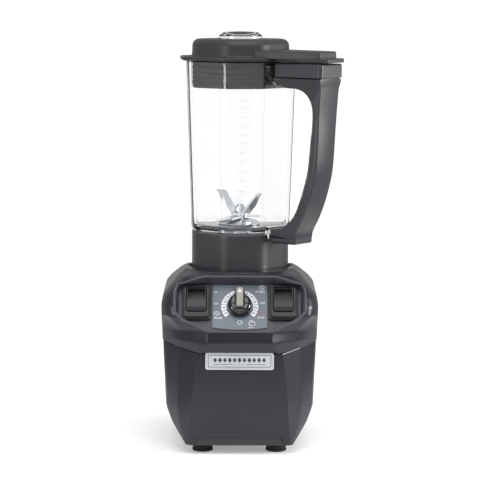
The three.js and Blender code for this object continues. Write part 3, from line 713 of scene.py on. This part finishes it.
def build_tray():
    """Recess liner: a slim lip over the cut edge, sloping walls and a flat floor."""
    outward = MOUTH - inset(MOUTH, 1.0)
    floor_out = FLOOR - inset(FLOOR, 1.0)
    lip = [(1.9, -1.2), (1.9, 0.05), (1.5, 0.34), (0.8, 0.5), (0.1, 0.42), (-0.45, 0.0), (-0.75, -0.7)]
    mouth_points, frames = [], []
    for (x, z), (ox, oz) in zip(MOUTH, outward):
        normal, slope_x, slope_z = upper_skin.front_normal(x, z)
        mouth_points.append(Vector((x, upper_skin.front_y(x, z), z)))
        frames.append((normal, Vector((ox, slope_x * ox + slope_z * oz, oz)).normalized()))
    rings = [[p + t * m + n * h for p, (n, t) in zip(mouth_points, frames)] for m, h in lip]
    inner_mouth = rings[-1]
    floor = [PANEL @ Vector((x, v, 0)) for x, v in FLOOR]
    up = PANEL.to_3x3() @ Vector((0, 0, 1))
    floor_dir = [PANEL.to_3x3() @ Vector((x, v, 0)) for x, v in floor_out]
    for share in (0.3, 0.6, 0.85):
        rings.append([a.lerp(b + up * 1.4, share) for a, b in zip(inner_mouth, floor)])
    for rise, out in ((1.3, 0), (0.4, -0.35), (0, -1.3), (0, -3.0)):
        rings.append([b + up * rise + d * out for b, d in zip(floor, floor_dir)])
    back = [
        [p + t * 0.6 - n * 2.4 for p, (n, t) in zip(mouth_points, frames)],
        [a.lerp(b, 0.2) + d * 1.4 for a, b, d in zip(inner_mouth, floor, floor_dir)],
        [b + d * 1.2 - up * 2.0 for b, d in zip(floor, floor_dir)],
        [b - d * 3.0 - up * 2.2 for b, d in zip(floor, floor_dir)],
    ]
    return skin("tray", rings[::-1] + back, caps=True)


def build_lower_housing():
    guess = lower_skin.at(112)
    seam = seam_height(guess[:, 0], guess[:, 1]) - 0.6
    steps = [(10.0, WALL), (10.0, 1.0), (10.3, 0.3), (11.0, 0)]
    steps += [(z, 0) for z in (*range(13, 40, 2), *range(40, 101, 5))]
    steps += [(101 + (seam - 101) * share, 0) for share in (0.3, 0.6, 0.85)]
    steps += [(seam - 0.6, 0), (seam - 0.1, 0.25), (seam, 0.9), (seam, WALL)]
    steps += [(z, WALL) for z in (90, 60, 33, 20)]
    shell = skin("lower_shell", [lower_skin.ring(z, shrink) for z, shrink in steps], wrap=True)
    notch = rounded([(-49, -1), (49, -1), (46, 18.8), (-46, 18.8)], [0.1, 0.1, 4, 4], 5)
    tool = skin("notch", [[(x, y, z) for x, z in notch] for y in (-120, -60)], caps=True)
    vent = block("vent_hole", 69, 20, 35, 0, 93.6, 66)
    inlet = cylinder("inlet_hole", 6.8, 80, 110, 32)
    turned(inlet, spin(-90, "X"), shift(30, 0, 30))
    return cut(shell, tool, vent, inlet)


place(build_upper_housing(), "upper_case", CHARCOAL, "base", ["upper_housing"], 40)
place(build_lower_housing(), "lower_case", CHARCOAL, "base", ["lower_housing"], 28)

switch_holes = [
    turned(prism("switch_hole", box_outline(23, 35.5, 2), -10, 10), shift(x, PADDLE_V, 0), PANEL)
    for x in (-PADDLE_X, PADDLE_X)
]
stem_hole = turned(cylinder("stem_hole", 4.2, -10, 10, 24), PANEL)
tray = cut(build_tray(), *switch_holes, stem_hole)
# The liner's lighter colour is painted light on the recess walls, not a different plastic.
place(tray, "panel_recess", LIT_RECESS, "base", ["control_tray"], 40)


# ---------- badge

BADGE_PLACE = shift(0, -99.5, 103.7) @ spin(92, "X")


def build_badge():
    outline = box_outline(73, 19.0, 2.5, 6)
    rings = stack(outline, (0, 0), (0, 1.0), (0.25, 1.4), (0.7, 1.6), (1.2, 1.6), (1.6, 1.1), (1.9, 1.1))
    return skin("badge", rings, caps=True)


def badge_marks():
    """Thin border line and a plain row of diamonds above a dotted rule."""
    z = 1.08
    border = box_outline(66.6, 12.8, 1.2, 5)
    marks = [stroke("border", border, 0.55, z, 0.12, closed=True)]
    for k in range(-5, 6):
        x, size = 5.2 * k, 2.7 if k % 2 else 3.1
        diamond = rounded([(x, 1.1 - size), (x + 2.1, 1.1), (x, 1.1 + size), (x - 2.1, 1.1)], 0.4, 3)
        marks.append(flat_shape("diamond", diamond, z, 0.12))
    for x in (-18, 18):
        marks.append(stroke("rule", [(x - 10, -3.6), (x, -3.6), (x + 10, -3.6)], 0.45, z, 0.12))
    for x in (-5, -2.5, 0, 2.5, 5):
        marks.append(flat_shape("dot", arc_points(0.45, 0, 337, 14, x, -3.6), z, 0.12))
    return merge("badge_marks", *marks)


place(turned(build_badge(), BADGE_PLACE), "badge_blank", BADGE, "base", ["badge_plate"])
place(turned(badge_marks(), BADGE_PLACE), "badge_marks", BADGE_INK, "base")


# ---------- control panel


def build_label():
    half = 29.2
    bottom = [(x, -25.4 - 2.4 * (1 - (x / half) ** 2)) for x in np.linspace(-half, half, 21)]
    outline = np.array(bottom + [(half, 25.6), (half - 0.6, 26.2), (0.6 - half, 26.2), (-half, 25.6)])
    return prism("label", outline, 0.1, 1.0, 0.25, 0.0, 2)


def scale_marks():
    """Prints in three inks: white segments, icons and words, dark numbers, and a red stop mark."""
    z = 1.0
    white, dark = [], []
    edges = [14, 37, 60, 83, 107, 131]
    numbers = [["10", "20", "30", "40", "50"], ["60", "70", "80", "90", "99"]]
    for side, words in zip((1, -1), numbers):
        for start, end, word in zip(edges, edges[1:], words):
            first, last = 90 + side * (start + 1.1), 90 + side * (end - 1.1)
            ring_part = arc_points(19.8, first, last, 9) + arc_points(14.3, last, first, 9)
            white.append(flat_shape("segment", ring_part[::side], z, 0.08))
            middle = (first + last) / 2 * DEG
            x, y = 17.1 * math.cos(middle), 17.1 * math.sin(middle)
            dark.append(lettering("number", word, 2.1, x, y, z + 0.1, 0.05, 0.03))
    for word, x, y, size in (
        ("HI", -25.7, 17.2, 2.2), ("LO", -25.3, 3.5, 2.2), ("PULSE", -22.9, -13.9, 2.2),
        ("START", 21.9, 17.9, 2.4), ("ON", 24.2, 4.3, 2.2), ("STOP", 22.6, -13.5, 2.2),
    ):
        white.append(lettering("word", word, size, x, y, z + 0.05, 0.04))
    pulse = box_outline(6, 4.4, 2.1, 5) + np.array([-24.6, -8.5])
    wave = [(-27.2, -8.8), (-26, -8.8), (-26, -7.2), (-24.6, -7.2), (-24.6, -9.6), (-23.2, -9.6),
            (-23.2, -8.0), (-22, -8.0)]
    diamond = rounded([(23.6, 20.2), (26.7, 23.2), (23.6, 26.0), (20.5, 23.2)], 0.4, 3)
    for name, line, width, closed in (
        ("pulse_icon", pulse, 0.4, True),
        ("pulse_wave", wave, 0.4, False),
        ("start_icon", diamond, 0.5, True),
        ("start_bar", [(23.6, 21.9), (23.6, 23.2), (23.6, 24.5)], 0.5, False),
        ("clock", arc_points(2.4, 0, 345, 24, 0.2, -19.3), 0.5, True),
        ("clock_hand", [(0.2, -19.3), (0.9, -18.6), (1.5, -18.0)], 0.5, False),
        ("cup", arc_points(2.3, 40, 320, 20, 12.0, -20.6), 0.55, False),
        ("cup_arc", arc_points(4.2, -30, 110, 14, 12.0, -21.0), 0.45, False),
    ):
        white.append(stroke(name, line, width, z, 0.1, closed))
    for x in (10.2, 12.0, 13.8):
        white.append(flat_shape("cup_dot", arc_points(0.55, 0, 337, 12, x, -25.0), z, 0.08))
    stop = box_outline(5.2, 4.6, 1.2, 4) + np.array([23.4, -8.2])
    return (
        merge("white_print", *white),
        merge("dark_print", *dark),
        stroke("red_print", stop, 0.6, z, 0.1, True),
    )


OPENING_TOP, OPENING_BOTTOM = 17.2, -13.4


def build_switch_frame():
    """Stepped bezel: wide foot, raised collar and a thick lip below the rocker."""
    base = prism("frame", box_outline(31, 40.5, 3.2, 6), 0.1, 3.6, 0.9, 0.0)
    collar = prism("collar", box_outline(27.8, 38.0, 4.2, 6), 1.0, 7.2, 1.7, 0.0, 4)
    body = fuse(base, collar)
    opening = rounded(corners_of(-11.2, 11.2, OPENING_BOTTOM, OPENING_TOP), [3.4, 3.4, 1.6, 1.6], 6)
    body = cut(body, prism("opening", opening, -5, 12))
    return bevel(body, 0.35, 2, 50)


def build_paddle():
    """Rocker: a finger well in its upper half, a raised convex pad below."""
    top, bottom = OPENING_TOP - 1.0, OPENING_BOTTOM + 1.2
    side = [(bottom + 1.7, -2.2), (top - 0.4, -2.2), (top, 7.4), (3.2, 8.0), (2.0, 8.8)]
    side += [(2.0 - 9.0 * u, 8.8 + 1.4 * math.sin(u * math.pi * 0.62)) for u in (0.25, 0.5, 0.75, 1.0)]
    lip_v, lip_n = side[-1]
    for a in np.linspace(0, math.pi / 2, 7)[1:]:
        side.append((lip_v + (bottom - lip_v) * math.sin(a), 4.6 + (lip_n - 4.6) * math.cos(a)))
    body = skin("paddle", [[(x, *point) for point in side] for x in (-10.5, 10.5)], caps=True)
    bevel(body, 0.8, 3, 40)
    well = [(top - 1.0, 13), (top - 1.0, 0.8), (5.4, 1.8), (4.0, 2.4), (3.2, 3.6), (2.7, 5.4), (2.4, 8.4),
            (2.4, 13)]
    body = cut(body, skin("well", [[(x, *point) for point in well] for x in (-9.4, 9.4)], caps=True))
    return bevel(body, 0.4, 2, 40)


def build_knob():
    body = lathe("knob_body", [
        (0, 1.6), (12.4, 1.6), (13.2, 2.2), (13.2, 4.2), (13.05, 6.0), (12.6, 7.6), (11.8, 9.0),
        (10.5, 10.1), (8.6, 10.8), (5, 11.2), (0, 11.4),
    ], 64)
    grip = [(-12.4, 2.0), (16.4, 2.0), (16.9, 6), (17.0, 12.2), (16.6, 13.4), (15.6, 14.0), (-6.2, 14.0)]
    for u in np.linspace(0.15, 1, 7):
        a, b, c = (1 - u) ** 2, 2 * u * (1 - u), u * u
        grip.append((-6.2 * a - 11.6 * b - 12.6 * c, 14.0 * a + 12.6 * b + 3.2 * c))
    bar = skin("knob_bar", [[(x, *point) for point in grip] for x in (-5.6, 5.6)], caps=True)
    bevel(bar, 0.8, 4, 35)
    stem = cylinder("stem", 3.2, -2.2, 2.5, 24)
    return merge("knob", body, bar, stem)


place(turned(build_label(), PANEL), "label_sheet", LABEL, "base", ["control_label"])
for marks, tone, ink in zip(scale_marks(), ("white", "dark", "red"), (INK, DARK_INK, RED_INK)):
    place(turned(marks, PANEL), f"label_{tone}_print", ink, "base")
place(turned(build_knob(), PANEL), "timer_dial", GLOSS, "knob", ["timer_knob"], 30)
insert = prism("insert", box_outline(6.9, 22, 0.7, 4), 14.02, 14.9, 0.25, 0.0, 2)
place(turned(insert, shift(0, 5, 0), PANEL), "dial_insert", INSERT, "knob",
      ["knob_pointer"])
arrow = flat_shape("arrow", rounded([(-2.0, 10.2), (2.0, 10.2), (0, 14.6)], 0.3, 3), 14.9, 0.08)
place(turned(arrow, PANEL), "dial_arrow", INK, "knob")

for side, x in (("speed", -PADDLE_X), ("start", PADDLE_X)):
    at = shift(x, PADDLE_V, 0)
    place(turned(build_switch_frame(), at, PANEL), f"{side}_bezel", SWITCH, "base",
          [f"{side}_switch_frame"], 35)
    place(turned(build_paddle(), at, PANEL), f"{side}_rocker_cap", SWITCH, f"{side}_rocker",
          [f"{side}_paddle"], 35)


# ---------- jar

JAR_BOTTOM, JAR_FLOOR, JAR_TOP = 233.0, 237.0, 418.5
# Distance from the jar's axis to its main and corner faces at the bottom, and the growth up to the top.
JAR_MAIN, JAR_MAIN_GROWTH = 50.5, 5.8
JAR_CORNER, JAR_CORNER_GROWTH = 52.6, 6.2


def jar_outline(z, shrink=0.0):
    share = (z - JAR_BOTTOM) / (JAR_TOP - JAR_BOTTOM)
    main, corner = JAR_MAIN + share * JAR_MAIN_GROWTH, JAR_CORNER + share * JAR_CORNER_GROWTH
    return octagon(main - shrink, corner - shrink, 14 - shrink * 0.8)


def build_jar():
    rings = []
    for a in np.linspace(0, math.pi / 2, 6):
        bottom = jar_outline(JAR_BOTTOM, 3 * (1 - math.sin(a)))
        rings.append(level(bottom, JAR_BOTTOM + 3 * (1 - math.cos(a))))
    rings += [level(jar_outline(z), z) for z in np.linspace(JAR_BOTTOM + 6, JAR_TOP - 1.2, 12)]
    for a in np.linspace(0, math.pi, 5)[1:]:
        rim = jar_outline(JAR_TOP, WALL / 2 * (1 - math.cos(a)))
        rings.append(level(rim, JAR_TOP - 1.2 + 1.2 * math.sin(a)))
    rings += [level(jar_outline(z, WALL), z) for z in np.linspace(JAR_TOP - 4, JAR_FLOOR + 9, 12)]
    for a in np.linspace(0, math.pi / 2, 6)[1:]:
        floor = jar_outline(JAR_FLOOR + 6, WALL + 7 * (1 - math.cos(a)))
        rings.append(level(floor, JAR_FLOOR + 7 - 7 * math.sin(a)))
    rings += circles(jar_outline(JAR_FLOOR), (30, JAR_FLOOR), (18, JAR_FLOOR), (17, JAR_FLOOR - 0.6),
                     (17, JAR_BOTTOM + 0.5), (18, JAR_BOTTOM))
    body = skin("jar_body", rings, wrap=True)
    lug = skin("upper_lug", [
        level(box_outline(w, d, r, 4) + np.array([55.5, 0]), z)
        for w, d, r, z in ((7, 22, 2, 393.8), (10.6, 40, 3, 399.5), (12, 48, 3, 403.5), (12, 48, 3, 414),
                           (11, 47, 3, 415))
    ], caps=True)
    foot = skin("lower_lug", [
        [(51.65 + a * 3.65, b * 17.5, z) for a, b in ((-1, -1), (1, -1), (1, 1), (-1, 1))]
        for z in (233.3, 241)
    ], caps=True)
    bevel(foot, 0.8, 2)
    tab = block("lower_tab", 4.4, 35, 6.5, 53.1, 0, 231.75)
    bevel(tab, 0.6, 2)
    return fuse(body, lug, foot, tab)


# Degrees from the front to the corner face that carries the litre scale.
MARK_TURN = 5


def on_mark_flat(mark, z):
    """Stands a flat mark up against that corner face at height z."""
    rise = JAR_CORNER_GROWTH / (JAR_TOP - JAR_BOTTOM)
    upright = Matrix.Rotation(math.pi / 2 - math.atan(rise), 4, "X")
    distance = JAR_CORNER + (z - JAR_BOTTOM) * rise
    return turned(mark, upright, shift(0, -distance, z), spin(MARK_TURN))


def build_measure_marks():
    """Litre scale: numbers between short dashes, one for each tenth from 0.2 up."""
    marks = []
    heights = [255.5, 268.6, 280.3, 291.2, 301.7, 312, 322, 331.8, 341.4, 350.8, 360, 369, 377.8]
    for tenths, z in enumerate(heights, 2):
        pieces = [lettering("mark", f"{tenths / 10:.1f}", 2.7, -3.6, 0, 0.06, 0.04)]
        for x in (-8.1, 0.9):
            pieces.append(stroke("dash", [(x - 1.1, 0), (x, 0), (x + 1.1, 0)], 0.5, 0.01))
        marks.append(on_mark_flat(merge("mark", *pieces), z))
    marks.append(on_mark_flat(lettering("unit", "L", 2.7, -3.6, 0, 0.06, 0.04), 247.5))
    return merge("marks", *marks)


def build_collar():
    outer = octagon(50.5, 52.4, 26)
    rings = stack(outer, (3, 188.4), (0.8, 188.4), (0.2, 188.7), (0, 189.4))
    rings += stack(outer, (0, 200), (0, 210), (0, 220), (0, 230))
    rings += quarter_round(outer, 1.6, 231, 4, 1.6, first=1)
    rings += circles(outer, (44, 232.6), (30, 232.6), (20.6, 232.6), (20, 232), (20, 229.6), (30, 229.6),
                     (43, 229.6))
    rings += stack(outer, (3, 228))
    return skin("collar", rings, wrap=True)


place(turned(build_jar(), JAR), "jar_vessel", CLEAR, "jar", ["jar"], 45)
place(build_measure_marks(), "jar_measure_print", INK, "jar")
place(turned(build_collar(), JAR), "jar_skirt", COLLAR, "jar", ["jar_collar"], 40)


# ---------- handle

# Down the handle: outer R and z, inner R and z of the side face, and depth of the rounded inner side.
GRIP_PATH = [
    (62, 402.9, 62, 400, 0.3),
    (74, 402.9, 74, 392.6, 0.6),
    (90, 402.9, 89.5, 391.6, 1.5),
    (105, 402.9, 100, 388.9, 3),
    (117, 402.9, 107, 383.8, 4.5),
    (124, 402.6, 110.6, 379, 6),
    (123.6, 394.5, 112.6, 373.5, 7.2),
    (122.8, 384, 113.4, 366, 8),
    (121.6, 370, 113.4, 357, 8.5),
    (120, 344, 112.8, 340, 8.5),
    (119, 328, 112, 326, 8.5),
    (116.4, 302, 109.6, 304, 8.5),
    (111, 281, 104, 284.5, 8.2),
    (104.4, 263, 97, 267.5, 7),
    (96.9, 247.4, 88.2, 252.6, 5.2),
    (91.6, 238.4, 80, 245.4, 3.4),
    (89.9, 233.6, 72, 241.2, 1.6),
    (89.7, 230.4, 66, 239.8, 0.6),
    (72, 230.3, 60, 239.2, 0.2),
    (56, 230.3, 55.9, 239, 0.1),
]


# Towards its head the handle widens by a share HEAD_FLARE, over HEAD_LENGTH of height from HEAD_START.
HEAD_FLARE = 0.18
HEAD_START, HEAD_LENGTH = 388, 14


def dense_path(rows, step):
    """Smooth curve through the rows, read at even steps."""
    rows = np.array(rows, float)
    middle = (rows[:, 0:2] + rows[:, 2:4]) / 2
    along = np.concatenate([[0], np.cumsum(np.linalg.norm(np.diff(middle, axis=0), axis=1))])
    slopes = np.gradient(rows, along, axis=0)
    out = []
    for s in np.linspace(0, along[-1], int(along[-1] / step) + 1):
        k = int(np.clip(np.searchsorted(along, s) - 1, 0, len(along) - 2))
        gap = along[k + 1] - along[k]
        u = (s - along[k]) / gap
        h00, h10 = 2 * u ** 3 - 3 * u ** 2 + 1, u ** 3 - 2 * u ** 2 + u
        h01, h11 = -2 * u ** 3 + 3 * u ** 2, u ** 3 - u ** 2
        out.append(h00 * rows[k] + h10 * gap * slopes[k] + h01 * rows[k + 1] + h11 * gap * slopes[k + 1])
    return np.array(out)


def build_grip():
    half, corner = 16.0, 2.6
    rings = []
    for *ends, crown in dense_path(GRIP_PATH, 3.0):
        outer, inner = np.reshape(ends, (2, 2))
        across = inner - outer
        depth = np.linalg.norm(across)
        across /= depth
        small = min(corner, depth * 0.4)
        section = [(-1.1 * (1 - t * t), t * (half - small)) for t in np.linspace(-1, 1, 9)]
        turns = np.linspace(0, math.pi / 2, 6)[1:]
        edge = [(small * (1 - math.cos(a)), half - small + small * math.sin(a)) for a in turns]
        section += edge + [(depth * 0.75, half)]
        for a in np.linspace(math.pi / 2, -math.pi / 2, 13):
            bulge = crown * math.cos(a) ** 0.8 if math.cos(a) > 1e-6 else 0
            section.append((depth + bulge, half * math.sin(a)))
        section.append((depth * 0.75, -half))
        section += [(d, -t) for d, t in edge[-2::-1]]
        ring = []
        for d, t in section:
            z = outer[1] + across[1] * d
            share = min(1.0, max(0.0, (z - HEAD_START) / HEAD_LENGTH))
            flare = 1 + HEAD_FLARE * share * share * (3 - 2 * share)
            ring.append((outer[0] + across[0] * d, t * flare, z))
        rings.append(ring)
    return skin("grip", rings, caps=True)


top_outline = rounded(corners_of(62, 126, -19.4, 19.4), [3, 4, 4, 3], 6)
foot_outline = rounded(corners_of(55.9, 89.8, -16.1, 16.1), [2, 4, 4, 2], 6)
for piece, name, node in (
    (build_grip(), "grip_moulding", "handle_grip"),
    (prism("top_block", top_outline, 403.2, 418.0, 2.0, 0.4, 4), "grip_head", "handle_top_block"),
    (prism("foot_cap", foot_outline, 224.0, 229.9, 0.4, 2.4, 4), "grip_foot", "handle_foot_cap"),
):
    place(turned(piece, JAR), name, SATIN, "jar", [node], 40)


# ---------- lid and cap

FLANGE_BOTTOM, FLANGE_TOP, LID_TOP = 419.3, 423.7, 442.5
SKIRT_BOTTOM = 389.8
DOME_RADIUS = 30.0


def build_lid_shell():
    """Dome, flange ring and skirt in one closed moulding with a filler opening."""
    dome = octagon(50.6, 52.8, DOME_RADIUS)
    flange = octagon(63, 65.2, 16)
    skirt = octagon(49.6, 52.1)
    rings = stack(skirt, (3, SKIRT_BOTTOM), (0.8, SKIRT_BOTTOM), (0.2, SKIRT_BOTTOM + 0.3))
    rings += stack(skirt, (0, SKIRT_BOTTOM + 1), (0, FLANGE_BOTTOM - 1), (-0.6, FLANGE_BOTTOM))
    for a in np.linspace(-math.pi / 2, math.pi / 2, 5):
        rings += stack(flange, (1.6 * (1 - math.cos(a)), 421.5 + 2.2 * math.sin(a)))
    rings += stack(dome, (-3, FLANGE_TOP + 0.1), (-0.8, FLANGE_TOP + 0.5), (0, FLANGE_TOP + 1.8))
    rings.append(level(octagon(50.3, 52.5, DOME_RADIUS), 432))
    rings += quarter_round(octagon(50.2, 52.4, DOME_RADIUS), 7.5, 435, 8, 7.3875)
    rings += circles(dome, (36, LID_TOP), (26, LID_TOP), (22.9, LID_TOP - 0.1), (22.3, LID_TOP - 0.8),
                     (22.3, 420.6), (22.9, 420), (25.2, 420), (25.7, 420.6), (25.7, 438))
    rings.append(level(octagon(43, 45), LID_TOP - 3.6))
    rings.append(level(octagon(46.6, 48.8), 433))
    return skin("lid_shell", rings, wrap=True)


def build_lid_tab():
    corners = [(56, -19), (127, -19), (131, -14), (131, 14), (127, 19), (56, 19)]
    tongue = rounded(corners, [1, 3, 3, 3, 3, 1], 4)
    plate = prism("tongue", tongue, FLANGE_BOTTOM, FLANGE_TOP, 1.2, 1.2)
    corners = [(34, -31), (46, -31), (120.5, -15), (120.5, 15), (46, 31), (34, 31)]
    tab = rounded(corners, [1, 4, 2, 2, 4, 1], 5)
    ridge = prism("ridge", tab, FLANGE_TOP - 1, 431.0, 2.0, 0.0, 4)
    core = octagon(49.4, 51.6, DOME_RADIUS)
    trimmed = cut(ridge, skin("dome_core", [level(core, 415), level(core, 440)], caps=True))
    return merge("lid_tab", plate, trimmed)


def build_seal():
    band = octagon(51, 53.5)
    rings = stack(band, (1.0, 391.0), (0.3, 391.0), (0, 391.6))
    for z in (395, 400, 405, 410.5):
        rings += stack(band, (0, z), (-0.55, z + 0.25), (-1, z + 1), (-0.55, z + 1.9), (0, z + 2.2))
    rings += stack(band, (0, 418.4), (0.6, 419.0), (1.0, 419.0))
    return skin("seal", rings, wrap=True)


def build_cap():
    """Clear measuring cap: cup wall below, flange and low faceted crown above."""
    return lathe("cap", [
        (0, 446.4), (9, 446.4), (17.5, 446.4), (19.1, 446.2), (19.3, 440), (19.5, 413), (19.8, 412.2),
        (21.0, 412), (21.5, 412.6), (21.5, 442.6), (22.0, 442.9), (23.4, 442.8), (24.0, 443.3),
        (24.0, 445.2), (23.6, 445.8), (22.0, 447.2), (19.4, 449.0), (17.4, 449.7), (15.5, 450.0),
        (14.2, 449.6), (13.4, 448.9), (9, 448.6), (0, 448.6),
    ], 72)


place(turned(build_lid_shell(), JAR), "lid_shell", LID, "lid", ["lid"], 40)
place(turned(build_lid_tab(), JAR), "lid_tab", LID, "lid", (), 40)
place(turned(build_seal(), JAR), "lid_gasket", RUBBER, "lid", ["lid_seal"], 40)
place(build_cap(), "cap_measure", CAP_CLEAR, "cap", ["filler_cap"], 30)


# ---------- feet


def build_foot():
    return lathe("foot", [
        (5.2, 4.4), (5.2, 0.6), (5.6, 0.0), (10.1, 0), (10.9, 0.35), (11.3, 1.2), (11.2, 2.6), (10.6, 3.2),
        (10.5, 3.8), (11.0, 4.3), (10.9, 7.0), (10.7, 10.0), (2.4, 10.0), (2.4, 4.4),
    ], 40, wrap=True)


CORNERS = {"front_left": (-39.7, -66), "front_right": (39.7, -66), "rear_left": (-39.7, 66),
           "rear_right": (39.7, 66)}
for side, (x, y) in CORNERS.items():
    place(turned(build_foot(), shift(x, y, 0)), f"pad_{side}", RUBBER, "base",
          [f"foot_{side}"], 30)


# ---------- carried-over nodes

CARRIED = {
    COVER: ["bottom_cover", "vent_grille"],
    RUBBER: ["cord_inlet", "jar_pad", "jar_gasket", "shaft_seal"],
    STEEL: [f"foot_screw_{side}" for side in CORNERS] + [
        "motor_bracket_lower", "motor_bracket_upper", "motor_bearing_lower", "motor_bearing_upper",
        "motor_shaft", "drive_coupling", "blade_bearing", "blade_shaft", "blade_housing", "blade_nut",
    ],
    BLADE: ["lower_blade", "upper_blade"],
    INNER: ["timer_body", "speed_switch_body", "start_switch_body", "fan_shroud", "cooling_fan"],
    IRON: ["motor_stator", "armature"],
    COPPER: ["field_coil_left", "field_coil_right", "commutator"],
    BRASS: ["brush_holder_left", "brush_holder_right"],
    BOARD: ["control_board"],
    COUPLING: ["driven_coupling", "retaining_nut"],
}
for material, names in CARRIED.items():
    for name in names:
        mesh = NODES[name].data
        mesh.materials.clear()
        mesh.materials.append(material)


# ---------- stage, light and camera


def build_floor():
    look = Look("studio_floor")
    grain = look.noise(60, 3)
    look.feed(Base_Color=look.ramp(grain, (0.3, (0.86, 0.86, 0.86)), (0.7, (0.88, 0.88, 0.88))))
    look.feed(Roughness=look.spread(grain, 0.3, 0.7, 0.6, 0.75))
    look.set(Emission_Color=(1, 1, 1, 1), Emission_Strength=0.3)
    rim = [(x, y, 0) for x, y in arc_points(0.45, 0, 357, 120)]
    floor = make_object("studio_floor", rim, [tuple(range(len(rim)))])
    floor.data.materials.append(look.material)


def add_light(name, location, target, width, height, power):
    light = bpy.data.lights.new(name, "AREA")
    light.shape = "RECTANGLE"
    light.size, light.size_y = width, height
    light.energy = power
    obj = add_object(name, light)
    obj.location = location
    direction = Vector(target) - Vector(location)
    obj.rotation_euler = direction.to_track_quat("-Z", "Y").to_euler()


def build_world():
    """Bright white behind the object and through clear plastic, dimmer for lighting and gloss."""
    world = bpy.data.worlds.new("studio")
    bpy.context.scene.world = world
    world.use_nodes = True
    nodes, link = world.node_tree.nodes, world.node_tree.links.new
    path = nodes.new("ShaderNodeLightPath")
    seen = nodes.new("ShaderNodeMath")
    seen.operation = "MAXIMUM"
    link(path.outputs["Is Camera Ray"], seen.inputs[0])
    link(path.outputs["Is Transmission Ray"], seen.inputs[1])
    strength = nodes.new("ShaderNodeMapRange")
    strength.inputs["To Min"].default_value = 0.46
    strength.inputs["To Max"].default_value = 1.05
    link(seen.outputs[0], strength.inputs["Value"])
    nodes["Background"].inputs["Color"].default_value = (1, 1, 1, 1)
    link(strength.outputs["Result"], nodes["Background"].inputs["Strength"])


build_floor()
build_world()
add_light("right", (1.59, -0.3, 0.5), (0, 0, 0.5), 0.5, 0.65, 22)
add_light("left", (-1.25, -0.95, 0.5), (0, 0, 0.5), 0.5, 0.65, 6)
add_light("front_top", (0, -1.5, 1.75), (0, 0, 0.15), 2.0, 1.0, 18)
add_light("top", (0, -0.3, 1.9), (0, 0, 0.2), 1.6, 1.1, 13)

# Metres from the foot of the motor axis, and degrees.
CAMERA_PLACE = Vector((0, -2.3, 0.497))
CAMERA_DIP = 6.837
CAMERA_ROLL = 0.2

camera = bpy.data.cameras.new("camera")
camera.sensor_width = 36
camera.lens = 157.533
camera.clip_start, camera.clip_end = 0.1, 20
view = add_object("camera", camera)
view.matrix_world = Matrix.Translation(AXIS + CAMERA_PLACE) @ spin(90 - CAMERA_DIP, "X") @ spin(CAMERA_ROLL)
bpy.context.scene.camera = view
bpy.context.scene.view_settings.view_transform = "Standard"
